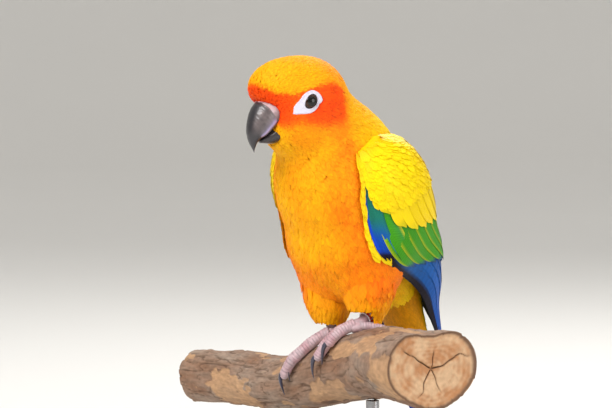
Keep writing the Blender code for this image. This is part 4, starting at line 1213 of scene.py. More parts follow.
def make_trousers(colours, sizes):
    """Loose tufts down both thighs that hang past the heel."""
    look = soft_finish()
    gold, amber = linear(colours.gold), linear(colours.amber)
    for side, word in ((1, "left"), (-1, "right")):
        rng = np.random.default_rng(SEED + 20 + side)
        top, bottom = thigh_line(side)
        span = np.linalg.norm(bottom - top)
        spacing = 1.5 * sizes.spacing
        rows = np.arange(0.1, 1.0, spacing / span)
        counts = (2 * math.pi * line(THIGH_GIRTH, rows) / (0.9 * spacing)).astype(int)
        share = np.repeat(rows, counts) + 0.4 * spacing / span * rng.standard_normal(counts.sum())
        order = staggered(counts)
        turn = (order + 0.25 * rng.standard_normal(len(order))) * 2 * math.pi / np.repeat(counts, counts)
        kept = field(thigh_point(side, share, turn)[0]) > -0.8
        share, turn = share[kept], turn[kept]
        long = 7.6 * sizes.length * (1 + 0.15 * rng.standard_normal(len(share)))
        wide = 2.8 * (1 + 0.15 * rng.standard_normal(len(share)))
        ring = ring_middle(side)[0]
        over, aside = RING_CLEAR[side]

        def over_ring(spots):
            """Places below a height over the leg ring and left of a line beside it, as the camera sees it."""
            rel = spots - ring
            return (rel[..., 2] < over) & (rel @ RING_ASIDE < aside)

        roots = thigh_point(side, share, turn)[0]
        lie = thigh_point(side, share + 1.0 / span, turn)[0] - roots
        free = free_share(roots, lie, long, over_ring)
        share, turn, long, wide = (values[free > 0.2] for values in (share, turn, long * free, wide))
        radius = np.maximum(line(THIGH_GIRTH, share), 5.0)[:, None, None]
        down = share[:, None, None] + long[:, None, None] / span * tuft_run(0.06)
        lean = 0.10 * rng.standard_normal(len(share))[:, None, None] * TUFT_DOWN
        around = turn[:, None, None] + lean + tuft_over(wide) / radius
        rise = (0.9 + 0.5 * rng.random(len(share)))[:, None, None]
        height = -1.2 + rise * 1.3 * TUFT_DOWN ** RISE_POWER - 0.35 * TUFT_ACROSS ** 2
        front, out = thigh_point(side, down, around, height)
        front = front + fillet(field(front.reshape(-1, 3))).reshape(front.shape[:3])[..., None] * out
        roots = thigh_point(side, share, turn)[0]
        cloud = noise(roots, 6.0, 4)
        base = mixed(gold, amber, 0.30 + 0.5 * cloud + 0.25 * share)
        base = mixed(plumage(roots, colours), base, smooth((share - 0.3) / 0.45 + 0.4 * cloud))
        tint = tuft_tint(base, mixed(base, gold, 0.3 * smooth((share - 0.2) / 0.3)), rng)
        home = np.stack([(turn / (2 * math.pi)) % 1, np.clip(share, 0, 1)], axis=-1)
        vanes_piece("coat_thigh_" + word, front, out, np.full(front.shape[:3], TUFT_THICK), tint, look,
                    home=home)


# The wings' feathers: where the yellow ends, by place across, and the small coverts' sizes along the wing
YELLOW_ENDS = {-0.06: -17.0, -0.032: -17.0, -0.026: 21.0, 0.012: 19.0, 0.045: 12.5, 0.085: 6.5,
               0.12: 6.0, 0.2: 3.0, 0.35: 1.0, 0.6: -1.0, 1.0: -4.0}
COVERT_LENGTH = {2: 11.0, 10: 9.5, 20: 7.0, 33: 4.0}
COVERT_WIDTH = {2: 4.8, 10: 4.2, 20: 3.2, 33: 2.0}
RIM_EDGE = -0.024
RIM_LENGTH = 6.0
RIM_WIDTH = 1.8


def make_wing_coverts(colours, sizes):
    """Small yellow feathers over the front of each wing, longer towards its back, with a narrow strip
    along the front edge."""
    look = feather_finish("covert_feather", barbs=34.0, shaft=0.4, slant=0.6, darken=0.10, relief=0.04,
                          roughness=0.5)
    lemon, gold, orange = linear(colours.lemon), linear(colours.gold), linear(colours.orange)
    for side, word in ((1, "left"), (-1, "right")):
        rng = np.random.default_rng(SEED + 30 + side)
        spacing = 1.4 * sizes.spacing
        rows = np.arange(WING_TOP, -21.0, -spacing)
        near_middle = [wing_point(side, rows, u, 0)[0] for u in (0.48, 0.52)]
        width = np.linalg.norm(near_middle[1] - near_middle[0], axis=-1) / 0.04
        counts = (1.06 * width / (0.85 * spacing)).astype(int)
        s = np.repeat(rows, counts) + 0.25 * spacing * rng.standard_normal(counts.sum())
        span = np.repeat(width, counts)
        order = staggered(counts) / np.repeat(counts, counts)
        u = order * 1.06 - 0.05 + 0.2 * spacing / span * rng.standard_normal(len(s))
        long = np.where(u < RIM_EDGE, RIM_LENGTH, line(COVERT_LENGTH, s) * sizes.length)
        long = long * (1 + 0.08 * rng.standard_normal(len(s)))
        kept = s - long > line(YELLOW_ENDS, u)
        s, u, long, span = s[kept], u[kept], long[kept], span[kept]
        wide = np.where(u < RIM_EDGE, RIM_WIDTH, line(COVERT_WIDTH, s))
        down = s[:, None, None] - long[:, None, None] * tuft_run(0.05)
        over = u[:, None, None] + tuft_over(wide) / span[:, None, None]
        lift = (0.75 + 0.12 * rng.standard_normal(len(s)))[:, None, None]
        height = dome(down, over) - 1.2 + 1.15 * lift * TUFT_DOWN ** 0.7 - 0.14 * TUFT_ACROSS
        front, out = wing_point(side, down, over, height)
        roots = wing_point(side, s, u, 0)[0]
        cloud = noise(roots, 9.0, 5)
        base = mixed(lemon, gold, 0.10 + 0.22 * cloud + 0.35 * smooth((s - 22) / 12))
        base = mixed(base, orange, 0.22 * smooth((0.0 - u) / 0.05) * smooth((s - 12) / 10))
        tint = tuft_tint(base, mixed(lemon, gold, 0.1 + 0.1 * cloud), rng, 0.035)
        home = np.stack([np.clip(u * 0.92 + 0.06, 0, 1), np.clip((s + 22) / 56, 0, 1)], axis=-1)
        vanes_piece("coverts_" + word, front, out, np.full(front.shape[:3], WING_TUFT_THICK), tint, look,
                    home=home)


VANE_STATIONS = 24
VANE_COLUMNS = 7
VANE_WIDTH = {0.0: 0.8, 0.35: 1.0, 0.75: 0.96, 0.9: 0.76, 0.97: 0.5, 1.0: 0.22}


def wing_vane(side, root, tip, first, width, depth, spread=0.0):
    """One flight feather's front: a curved strip from root to rounded tip. Its front edge lies at the
    wing's outer height less the depth, and it sinks steadily towards its back edge."""
    length = root - tip
    share = np.linspace(0, 1, VANE_STATIONS)[:, None] ** 0.9
    across = np.linspace(-1, 1, VANE_COLUMNS)[None]
    middle = first + width / 2 + spread * share * (0.5 - first - width / 2)
    u = middle + width / 2 * curve(VANE_WIDTH, share) * (1 + 1.4 * spread * share) * across
    s = root - length * share - 1.6 * share ** 10 * (1 - across ** 2)
    tilt = VANE_TILT * curve({-106: 0.15, -80: 0.4, -60: 0.8, -40: 1.0, 30: 1.0}, s)
    shaft = 0.12 * np.exp(-(across / 0.12) ** 2)
    height = dome(s, u) - curve(depth, s) - tilt * (u - first) + shaft
    front, out = wing_point(side, s, u, height)
    return front, out, *np.broadcast_arrays(share, across)


def feather_colours(kind, share, across, order, colours):
    """Colour over a flight feather. Primaries: blue front web, black back web and tip. Hand coverts:
    teal turning blue, black tip, and one yellow feather under them. Secondaries: green with a fine
    yellow edge and a dark tip. Greater coverts: yellow, the foremost with green ends."""
    green, teal, blue = linear(colours.green), linear(colours.teal), linear(colours.blue)
    black, lemon, gold = linear(colours.black), linear(colours.lemon), linear(colours.gold)
    if kind == "spot":
        return np.broadcast_to(lemon, across.shape + (3,))
    if kind == "primary":
        web = mixed(mixed(teal, blue, 0.55 + 0.4 * share), black, 0.9 * smooth((across + 0.15) / 0.4))
        web = mixed(web, black, smooth((0.1 - order) / 0.1) * smooth((-0.45 - across) / 0.1))
        return mixed(web, black, smooth((share - 0.72) / 0.2))
    if kind == "hand":
        web = mixed(teal, blue, smooth((share - 0.45) / 0.35) * (0.8 - 0.4 * across) + 0.8 * (order < 0.2))
        return mixed(web, black, smooth((share - 0.86) / 0.07) + 0.5 * smooth((across - 0.75) / 0.2))
    if kind == "secondary":
        web = mixed(green, teal, 0.25 * smooth((across - 0.1) / 0.6))
        web = mixed(web, lemon, 0.5 * smooth((across - 0.86) / 0.1) * (1 - smooth((share - 0.8) / 0.1)))
        web = mixed(web, lemon, 0.35 * smooth((-0.9 - across) / 0.08))
        return mixed(web, mixed(blue, black, 0.6), smooth((share - 0.9) / 0.1))
    web = mixed(lemon, gold, 0.18 * smooth((across - 0.5) / 0.4) + 0.08 * share)
    return mixed(web, green, 0.35 * smooth((0.3 - order) / 0.2) * smooth((share - 0.75) / 0.2))


def wing_feather_list():
    """Every large feather of a wing: kind, root, tip, front edge, width, depth table and spread."""
    listed = []
    for k in range(8):
        tip = -106 + 34 * (k / 7) ** 1.4
        depth = {tip: 0.3, tip + 12: 0.4 + 0.18 * k, -50: 0.8 + 0.2 * k, -28: 1.0 + 0.28 * k,
                 -10: 1.6 + 0.2 * k}
        listed.append(("primary", -12, tip, -0.03 + 0.105 * k, 0.27, depth, 0.5 - 0.03 * k, k / 7))
    listed.append(("spot", 0, -19.5, -0.03, 0.075, {-19.5: 0.6, 0: 1.2}, 0.0, 0.0))
    for k in range(5):
        depth = {-27: 0.3, -10: 0.4, 6: 0.7, 12: 1.3, 21: 1.9}
        listed.append(("hand", 24, -15.5 - 0.8 * k, -0.024 + 0.021 * k, 0.052, depth, 0.0, k / 4))
    for k in range(11):
        over = float(curve({0: 5, 1: -5, 2: -10, 4: -15, 7: -20, 10: -18}, k))
        tip = float(curve({0: -28, 3: -37, 8: -48, 10: -46}, k))
        listed.append(("secondary", over + 10, tip, 0.055 + 0.085 * k, 0.155,
                       {tip: 0.3, over - 12: 0.35, over: 1.0, over + 10: 1.9}, 0.0, k / 10))
        listed.append(("greater", max(12, over + 10), over, 0.085 + 0.083 * k, 0.15,
                       {over: 0.3, over + 6: 0.4, max(12, over + 10): 1.5}, 0.0, k / 10))
    return listed


def make_flight_feathers(colours, sizes):
    """The large feathers of both folded wings, in their tiers."""
    look = feather_finish("flight_feather", barbs=210.0, shaft=1.2, slant=0.12, darken=0.16, relief=0.05,
                          roughness=0.48)
    for side, word in ((1, "left"), (-1, "right")):
        rng = np.random.default_rng(SEED + 40 + side)
        fronts, outs, tints = [], [], []
        for kind, root, tip, first, width, depth, spread, order in wing_feather_list():
            front, out, share, across = wing_vane(side, root, tip, first, width, depth, spread)
            fronts.append(front)
            outs.append(out)
            tint = feather_colours(kind, share, across, order, colours)
            tints.append(tint * (1 + 0.05 * rng.standard_normal()))
        front = np.array(fronts)
        vanes_piece("flight_feathers_" + word, front, np.array(outs), np.full(front.shape[:3], 0.3),
                    np.array(tints), look, ("wing_" + word,))


# The tail
def make_tail(colours, sizes):
    """Twelve long graduated feathers, the middle pair on top."""
    look = feather_finish("tail_vane", barbs=420.0, shaft=1.2, slant=0.06, darken=0.16, relief=0.05,
                          roughness=0.5)
    rng = np.random.default_rng(SEED + 50)
    share = (np.linspace(0, 1, 40) ** 0.92)[:, None]
    across = np.linspace(-1, 1, VANE_COLUMNS)[None]
    fronts, tints = [], []
    leaf, blue, black = linear(colours.tail_green), linear(colours.blue), linear(colours.black)
    for k in range(6):
        for side in (1, -1):
            level = 2 * k + (side < 0)
            part = 0.08 + 0.92 * share
            half = 6.0 * curve({0: 0.7, 0.4: 0.9, 0.66: 1.0, 0.84: 0.84, 0.94: 0.55, 1: 0.12}, part)
            x = side * (0.9 + 0.8 * k) * curve({0: 0.7, 0.6: 1.1, 1: 0.8}, part) + half * across
            shaft = 0.15 * np.exp(-(across / 0.12) ** 2)
            height = 2.6 - 0.42 * level - 0.011 * x * x + shaft
            down = part * TAIL_LENGTHS[k]
            fronts.append(TAIL_ROOT + down[..., None] * TAIL_DOWN + x[..., None] * BODY[1]
                          + height[..., None] * TAIL_UP)
            web = mixed(leaf, blue, smooth((part - 0.62) / 0.3))
            web = mixed(web, black, 0.45 * smooth((np.abs(across) - 0.8) / 0.2) * smooth((part - 0.5) / 0.2))
            tints.append(web * (1 + 0.05 * rng.standard_normal()))
    front = np.array(fronts)
    out = np.broadcast_to(TAIL_UP, front.shape)
    vanes_piece("tail_feathers", front, out, np.full(front.shape[:3], 0.34), np.array(tints), look,
                ("tail",))


def make_tail_coverts(colours, sizes):
    """Long soft tufts round the root of the tail, yellow-green above and golden below, dulled below by
    painted shade.
    """
    look = soft_finish()
    rng = np.random.default_rng(SEED + 51)
    spacing = 2.0 * sizes.spacing
    rows = np.arange(-0.07, 0.26, spacing / TAIL_LENGTH)
    girth = 2 * math.pi * (line(TAIL_WIDE, rows) + line(TAIL_DEEP, rows)) / 2
    counts = (girth / (0.9 * spacing)).astype(int)
    share = np.repeat(rows, counts) + 0.3 * spacing / TAIL_LENGTH * rng.standard_normal(counts.sum())
    order = staggered(counts)
    turn = (order + 0.2 * rng.standard_normal(len(order))) * 2 * math.pi / np.repeat(counts, counts)
    long = line({-0.07: 9.0, 0.1: 13.0, 0.26: 16.0}, share) * (1 + 0.1 * rng.standard_normal(len(share)))
    wide = 4.6 * (1 + 0.1 * rng.standard_normal(len(share)))
    down = share[:, None, None] + long[:, None, None] / TAIL_LENGTH * tuft_run(0.04)
    radius = (line(TAIL_WIDE, share) * 0.6 + line(TAIL_DEEP, share) * 0.4)[:, None, None]
    around = turn[:, None, None] + tuft_over(wide) / radius
    front, out = tail_point(down, around, -0.9 + 1.3 * TUFT_DOWN ** RISE_POWER - 0.2 * TUFT_ACROSS ** 2)
    above = smooth((np.cos(turn) + 0.1) / 0.5)
    greenness = above * (0.55 + 0.35 * smooth(share / 0.2))
    base = mixed(linear(colours.gold), linear(colours.covert_green), greenness)
    # painted shade: the underside dulled towards the darker colour of the vent
    base = mixed(base, linear(colours.under_tail_shade), 0.45 * (1 - above))
    tint = tuft_tint(base, mixed(base, linear(colours.lemon), 0.25 * above), rng)
    home = np.stack([(turn / (2 * math.pi)) % 1, np.clip((share + 0.07) / 0.34, 0, 1)], axis=-1)
    vanes_piece("tail_coverts", front, out, np.full(front.shape[:3], WING_TUFT_THICK), tint, look,
                home=home)


# Eyes
def eye_place(side):
    """Middle of the eye's opening on the head, its outward, forward and up directions."""
    start = on_head(EYE_AHEAD, 0, EYE_UP)
    spot = reach(start[None], side * HEAD[1][None])[0]
    out = normals_at(spot[None])[0]
    ahead = unit(HEAD[0] - out * (HEAD[0] @ out))
    up = unit(HEAD[2] - out * (HEAD[2] @ out) - ahead * (HEAD[2] @ ahead))
    return spot, out, ahead, up


def eye_finish(colours):
    """Eye: black pupil, dark brown iris with fine rays, under a clear wet coat."""
    known = bpy.data.materials.get("wet_eye")
    if known:
        return known
    look, tree, shader = new_material("wet_eye", 0.05, coat=0.25, specular=0.35)
    shader.inputs["Coat Roughness"].default_value = 0.02
    place = add(tree, "ShaderNodeUVMap", {"uv_map": "polar"}).outputs[0]
    parts = add(tree, "ShaderNodeSeparateXYZ", None, Vector=place)
    rays = add(tree, "ShaderNodeTexNoise", None, Vector=place, Scale=60.0, Detail=2.0).outputs["Fac"]
    iris = colour_mix(tree, rays, linear(colours.iris) * 0.5, linear(colours.iris) * 1.6)
    pupil = ramp(tree, parts.outputs["Y"], 0.165, 0.185)
    colour = colour_mix(tree, pupil, (0.002, 0.002, 0.002), iris)
    rim = ramp(tree, parts.outputs["Y"], 0.24, 0.3)
    tree.links.new(colour_mix(tree, rim, colour, (0.01, 0.008, 0.008)), shader.inputs["Base Color"])
    return look


def make_eyes(colours, sizes):
    """Round glossy eyes, and the bare skin round each: a wrinkled plate with a raised rim at the lids."""
    wet = eye_finish(colours)
    bare = painted_finish("bare_eye_skin", 0.55, 0.8, 4.0, 0.10, spread=0.16)
    for side, word in ((1, "left"), (-1, "right")):
        spot, out, ahead, up = eye_place(side)
        centre = spot - EYE_SINK * out
        polar = np.linspace(0.02, 0.98, 48)[:, None] * math.pi
        turn = circle(64)[None]
        flat = np.cos(turn)[..., None] * ahead + np.sin(turn)[..., None] * up
        ball = centre + EYE_RADIUS * (np.cos(polar)[..., None] * out + np.sin(polar)[..., None] * flat)
        points, faces = tube(ball, centre + EYE_RADIUS * out, centre - EYE_RADIUS * out)
        polar_map = np.stack([np.broadcast_to(turn / (2 * math.pi), ball.shape[:2]),
                              np.broadcast_to(polar / math.pi, ball.shape[:2])], axis=-1).reshape(-1, 2)
        polar_map = np.concatenate([polar_map, [[0.5, 0.0], [0.5, 1.0]]])
        mesh_piece("eyeball_" + word, points, facing_out(points, faces), wet, ("eye_" + word,),
                   loop_maps={"polar": polar_map})
        make_lids(word, (spot, out, ahead, up), bare, colours)


def make_lids(word, place, look, colours):
    """Bare skin round one eye: rings that run from the slanted opening of the lids out to the teardrop's
    edge, over the eye at first and over the head later, with a rim, wrinkles and an underside."""
    spot, out, ahead, up = place
    turns = circle(96)
    edge = line(PATCH_REACH, np.degrees(turns)) + 0.8
    edge = (2 * edge + np.roll(edge, 1) + np.roll(edge, -1)) / 4
    lean = turns - HOLE_TURN
    hole = HOLE_LONG * HOLE_SHORT / np.hypot(HOLE_SHORT * np.cos(lean), HOLE_LONG * np.sin(lean))
    ball = np.sqrt(np.maximum(EYE_RADIUS ** 2 - hole ** 2, 0)) - EYE_SINK
    rings, tints = [], []
    shares = np.concatenate([[-0.12, -0.03], np.linspace(0.0, 1.0, 26)])
    # dim is the skin in painted shade, for the lid's edge where it turns in against the eye
    pale, dim = linear(colours.eye_skin), linear(colours.eye_skin) * np.array([0.55, 0.5, 0.5])
    for share in shares:
        radius = hole + (edge - hole) * share
        flat = (radius * np.cos(turns))[:, None] * ahead + (radius * np.sin(turns))[:, None] * up
        base = reach(spot + flat - 12 * out, np.broadcast_to(out, flat.shape), 0.0, 40.0)
        lifted = (base - spot - flat) @ out
        rim = math.exp(-((share - 0.10) / 0.10) ** 2)
        near = 1 - smooth(share / 0.35)
        wrinkle = 0.07 * math.sin(share * 34) * smooth(share / 0.2) * np.sin(7 * turns + 2 * share) ** 2
        level = near * (ball + 0.15) + (1 - near) * (lifted + 0.25) + 0.3 * rim + wrinkle
        level = level - 0.9 * max(-share / 0.12, 0) - 0.5 * smooth((share - 0.88) / 0.12)
        rings.append(spot + flat + level[:, None] * out)
        # painted shade, darkest at the lid's edge
        tints.append(np.broadcast_to(pale + (dim - pale) * max(0.0, 1 - abs(share) / 0.06), (96, 3)))
    under = [ring - 0.8 * out for ring in rings[::-1]]
    band = np.array(rings + under)
    points, faces = closed_band(band, out, 5 * 96 + 3)
    tint = np.concatenate([np.array(tints), np.array(tints[::-1])]).reshape(-1, 3)
    mesh_piece("eye_skin_" + word, points, faces, look, ("lids_" + word,), tint)


# The bill
def bill_ring(part, grow=0.0, count=96, tables=(BILL_TOP, BILL_EDGE, BILL_WIDTH), lower=False):
    """Egg-shaped cross-sections; the side towards the other half of the bill is flattened."""
    part = np.asarray(part, float)[:, None]
    top, edge = pair_curve(tables[0], part), pair_curve(tables[1], part)
    turn = circle(count)[None]
    height = np.cos(turn)
    if lower:
        flat = np.where(height > 0, np.abs(height) ** 0.5, height)
        wide = np.sin(turn)
    else:
        flat = np.where(height < 0, -np.abs(height) ** 0.6, height)
        wide = np.sin(turn) * np.where(height < 0, 1.0, 1.0 - 0.12 * height)
    middle, rise = (top + edge) / 2, (top - edge) / 2
    rise = rise * (1 + grow / np.linalg.norm(rise, axis=0))
    half = (curve(tables[2], part) + grow) * wide
    return on_head(middle[0] + flat * rise[0], half, middle[1] + flat * rise[1])


def horn_tube(name, rings, tip, tint, look, nodes, relief):
    """Closed horn through rings to a tip, raised by a relief along its own normals."""
    middle = rings.mean(axis=1, keepdims=True)
    rings = rings + relief[..., None] * unit(rings - middle)
    points, faces = tube(rings, None, tip)
    mesh_piece(name, points, facing_out(points, faces), look, nodes, capped(tint))


def make_bill(colours, sizes):
    """Both halves of the bill, with growth lines, a pale cutting edge and a black tip, and the cere."""
    look = painted_finish("bill_horn_finish", 0.34, 0.35, 2.5, 0.05, coat=0.35, spread=0.45)
    dark, grey, pale = linear(colours.horn_dark), linear(colours.horn_grey), linear(colours.horn_pale)
    parts = CERE_PART - 0.02 + (1.0 - CERE_PART + 0.02) * np.linspace(0, 1, 90) ** 0.9
    turn = circle(96)[None]
    rings = bill_ring(parts)
    part = parts[:, None]
    cloud = noise(rings, (3.0, 3.0, 3.0), 6) + 0.5 * noise(rings, (1.0, 1.0, 1.0), 7)
    side = np.abs(np.sin(turn))
    mid = smooth((side - 0.35) / 0.5) * (1 - smooth((part - 0.45) / 0.35))
    tint = mixed(dark, grey, mid * (0.75 + 0.4 * cloud))
    base = (1 - smooth((part - CERE_PART) / 0.035)) * smooth((np.cos(turn) + 0.4) / 0.5)
    tint = mixed(tint, pale, 0.3 * base)
    corner = np.exp(-((np.abs(turn - math.pi) - 1.25) / 0.16) ** 2)
    cutting = corner * smooth((part - 0.2) / 0.06) * (1 - smooth((part - 0.66) / 0.08))
    tint = mixed(tint, linear(colours.cutting_edge), 0.9 * cutting)
    lines = 0.035 * np.sin(part * 120 + 3 * np.cos(turn) + 2 * cloud) * mid
    flakes = 0.05 * noise(rings, (1.6, 1.6, 0.8), 8) * smooth((part - 0.2) / 0.1)
    horn_tube("bill_upper_horn", rings, on_head(BILL_TIP[0], 0, BILL_TIP[1]), tint, look, ("bill_upper",),
              lines + flakes)
    lower_parts = np.linspace(0, 1, 50)
    rings = bill_ring(lower_parts, 0.0, 80, (LOWER_TOP, LOWER_KEEL, LOWER_WIDTH), True)
    cloud = noise(rings, (3.0, 3.0, 3.0), 9)
    tint = mixed(dark * 0.9, grey * 0.7, 0.25 + 0.4 * cloud)
    tip = rings[-1].mean(axis=0) + 0.25 * unit(rings[-1].mean(axis=0) - rings[0].mean(axis=0))
    lines = 0.03 * np.sin(lower_parts[:, None] * 60 + cloud)
    horn_tube("bill_lower_horn", rings, tip, tint, look, ("bill_lower",), lines)
    make_cere(colours)


def make_cere(colours):
    """Fleshy strip over the bill, with a pit for each nostril and a soft front edge."""
    look = painted_finish("cere_skin_finish", 0.6, 1.0, 5.0, 0.12, spread=0.3)
    parts = np.linspace(0.0, CERE_PART + 0.012, 30)
    rings = bill_ring(parts, 0.35)
    edge = 0.38 * smooth((parts - CERE_PART + 0.03) / 0.04)[:, None]
    middle = rings.mean(axis=1, keepdims=True)
    out = unit(rings - middle)
    lumps = 0.12 * noise(rings, (1.4, 1.4, 1.4), 10)
    away = nostril_gap(rings)
    pit = 1.1 * np.exp(-(away / 0.75) ** 2) - 0.22 * np.exp(-((away - 1.35) / 0.45) ** 2)
    rings = rings + (lumps - pit - edge)[..., None] * out
    pale = linear(colours.cere)
    tint = mixed(pale, pale * np.array([1.0, 0.75, 0.72]), 0.5 + 0.5 * noise(rings, (1.2,) * 3, 11))
    low = smooth((0.25 - np.cos(circle(96)[None])) / 0.5) + 0.25 * lumps
    tint = mixed(tint, linear(colours.horn_grey) * 0.8, 0.9 * low)
    # painted shade: near black in each nostril, standing in for the shadow inside the pit
    tint = mixed(tint, np.array([0.02, 0.014, 0.014]), np.exp(-(away / 0.72) ** 4))
    points, faces = tube(rings)
    mesh_piece("cere_skin", points, facing_out(points, faces), look, ("cere",), capped(tint))


# Feet: for each toe its arc round the perch, its drift along it and its radius
TOES = {
    1: ((14.5, -4.5, 2.3), (21.0, -10.0, 2.4), (-11.0, -5.0, 1.7), (-17.0, 9.0, 1.9)),
    -1: ((17.0, -10.0, 2.3), (24.0, -16.5, 2.4), (-11.0, 3.0, 1.7), (-17.0, -7.0, 1.9)),
}
CLAW_LENGTH = 8.0
SCUTE_DEPTH = 0.12


def toe_line(place, arc, drift, above, share):
    """Line along a toe that runs round the perch for an arc while it drifts along it."""
    girth = curve(PERCH_GIRTH, place) + above
    return perch_point(place + drift * share, HUB_TURN + share * arc / girth, above)


def scaled_tube(path, radii, sides, sideways, scutes):
    """Tube with overlapping scutes: its radius steps up sharply and falls slowly along each scute, more on
    the upper side, with rounded pads below. Gives points, faces and the painted shade in the seams between
    scutes above and between the beads below."""
    shares = np.linspace(0, 1, len(path))[:, None]
    turn = circle(sides)[None]
    step = (shares * scutes) % 1
    scute = SCUTE_DEPTH * (1 - step) * smooth(step / 0.12)
    pads = 0.10 * np.sin(shares * math.pi * 3) ** 2 * smooth(-np.sin(turn) / 0.6)
    on_top = smooth(0.6 + np.sin(turn))
    # painted shade in the seam under each scute's raised edge, on the upper side
    seam_shade = np.exp(-(np.minimum(step, 1 - step) / 0.13) ** 2) * on_top
    beads = np.abs(np.sin(turn * 5 + 2 * np.sin(shares * scutes * 2 * math.pi))) * (1 - on_top)
    relief = 1 + scute * on_top + pads + 0.03 * beads
    points, faces = tube(sweep_rings(path, radii[:, None] * relief, sides, sideways))
    # painted shade: seams above, and the low places between the beads below
    shade = (1 - 0.42 * seam_shade - 0.12 * (1 - beads) * (1 - on_top)).ravel()
    return points, faces, np.concatenate([shade, [1.0, 1.0]])


def make_feet(colours, sizes):
    """Scaled legs and toes, two ahead and two behind, with curved dark claws."""
    look = painted_finish("scaled_foot_skin", 0.55, 0.7, 3.5, 0.12, spread=0.35)
    horn = painted_finish("claw_horn", 0.3, 0.6, 3.0, 0.03, coat=0.4, spread=0.3)
    skin, flush = linear(colours.foot_skin), linear(colours.foot_flush)
    for side, word in ((1, "left"), (-1, "right")):
        place, hub, heel = leg_points(side)
        shares = np.linspace(0, 1, 40)
        path = hub + TARSUS_START + (heel - hub) * shares[:, None]
        scaled = [scaled_tube(path, 2.4 + 0.3 * np.cos(shares * 2 * math.pi), 28, (1, 0, 0), 9)]
        knuckle = np.linspace(0.03, 0.97, 14)[:, None] * math.pi
        turns = circle(28)[None]
        bulb = np.stack(np.broadcast_arrays(np.sin(knuckle) * np.cos(turns), np.sin(knuckle) * np.sin(turns),
                                            np.cos(knuckle)), axis=-1)
        knuckles = tube(hub + np.array([0, 0.5, -0.7]) + bulb * np.array([3.6, 3.8, 2.7]))
        scaled.append((*knuckles, np.ones(len(knuckles[0]))))
        claws = []
        for arc, drift, thick in TOES[side]:
            share = np.linspace(0, 1, 60)
            above = curve({0: thick + GAP + 0.9, 0.25: thick + GAP + 0.3, 1: thick + GAP + 0.1}, share)
            radii = thick * curve({0: 1.15, 0.3: 1.0, 0.8: 0.95, 0.94: 0.86, 1: 0.5}, share)
            radii = radii * (1 + 0.06 * np.cos(share * 2 * math.pi * 3))
            toe = toe_line(place, arc, drift, above, share)
            girth = curve(PERCH_GIRTH, place) + above
            away = toe - perch_point(place + drift * share, HUB_TURN + share * arc / girth, 0)
            ahead = unit(np.gradient(toe, axis=0))
            scaled.append(scaled_tube(toe, radii, 24, np.cross(unit(away), ahead), int(abs(arc) * 0.95)))
            ends = np.linspace(0, 1, 30)
            claw_share = 0.9 + ends * (CLAW_LENGTH + 0.4) / abs(arc)
            lift = curve({0: thick + 0.5, 0.4: thick + 1.3, 1: 0.9}, ends) + GAP
            claw = toe_line(place, arc, drift, lift, claw_share)
            claws.append(tube(sweep_rings(claw, curve({0: 1.35, 0.5: 0.95, 1: 0.12}, ends), 16, (0, 0, 1))))
        points, faces = joined([part[:2] for part in scaled])
        # shade holds the painted shade of the seams and beads; the knuckles have none
        shade = np.concatenate([part[2] for part in scaled])
        tint = mixed(skin, flush, 0.45 + 0.5 * noise(points, 2.4, 12))
        tint = tint * (shade * (0.94 + 0.16 * noise(points, 0.9, 13)))[:, None]
        mesh_piece("foot_skin_" + word, points, faces, look, ("foot_" + word,), tint)
        points, faces = joined(claws)
        tint = mixed(linear(colours.claw), linear(colours.claw) * 2.2, 0.4 + 0.5 * noise(points, 2.0, 14))
        mesh_piece("claws_" + word, points, faces, horn, (), tint)


RING_BARS = 9


def ring_finish(colours):
    """Red plastic with white rims and plain white bars, worn at random."""
    look, tree, shader = new_material("ring_red_plastic", 0.35, coat=0.3)
    place = add(tree, "ShaderNodeUVMap", {"uv_map": "wrap"}).outputs[0]
    parts = add(tree, "ShaderNodeSeparateXYZ", None, Vector=place)
    off = maths(tree, "ABSOLUTE", maths(tree, "SUBTRACT", parts.outputs["Y"], 0.5))
    rims = ramp(tree, off, 0.36, 0.39)
    wave = maths(tree, "SINE", maths(tree, "MULTIPLY", parts.outputs["X"], 2 * math.pi * RING_BARS))
    bars = ramp(tree, wave, 0.35, 0.5)
    inside = maths(tree, "SUBTRACT", 1.0, ramp(tree, off, 0.2, 0.23))
    white = maths(tree, "MAXIMUM", rims, maths(tree, "MULTIPLY", bars, inside))
    grain = placed(tree, grain_group(), Coarse=0.8, Fine=4.0)
    worn = maths(tree, "MULTIPLY", white, ramp(tree, grain.outputs["Value"], 0.25, 0.45))
    base = colour_mix(tree, worn, linear(colours.ring_red), (0.85, 0.83, 0.84))
    tree.links.new(base, shader.inputs["Base Color"])
    bump(tree, shader, grain.outputs["Height"], 0.2, 0.03)
    return look


def make_rings(colours, sizes):
    """A red plastic ring on the left leg and a narrow steel one on the right, with rounded rims."""
    looks = {1: ring_finish(colours), -1: metal_finish("ring_bright_steel", (0.75, 0.75, 0.77), 0.32)}
    profile_turn = np.linspace(0, 2 * math.pi, 24, endpoint=False)
    for side, word in ((1, "red"), (-1, "steel")):
        _, height, node = RINGS[side]
        middle, axis = ring_middle(side)
        side_way = unit(np.cross(axis, UPWARD))
        up = np.cross(axis, side_way)
        turn = circle(96)
        around = np.cos(turn)[:, None] * side_way + np.sin(turn)[:, None] * up
        thick = (RING_OUTER - RING_INNER) / 2
        across = np.sign(np.cos(profile_turn)) * np.abs(np.cos(profile_turn)) ** 0.6
        rise = np.sign(np.sin(profile_turn)) * np.abs(np.sin(profile_turn)) ** 0.35
        radius = (RING_INNER + RING_OUTER) / 2 + thick * across
        rings = middle + radius[:, None, None] * around[None] + (rise * height / 2)[:, None, None] * axis
        points, faces = closed_band(rings, around[0])
        wrap = np.stack(np.broadcast_arrays(turn / (2 * math.pi), (rise[:, None] + 1) / 2), axis=-1)
        wrap = wrap.reshape(-1, 2)
        mesh_piece("leg_ring_" + word, points, faces, looks[side], (node,), loop_maps={"wrap": wrap})


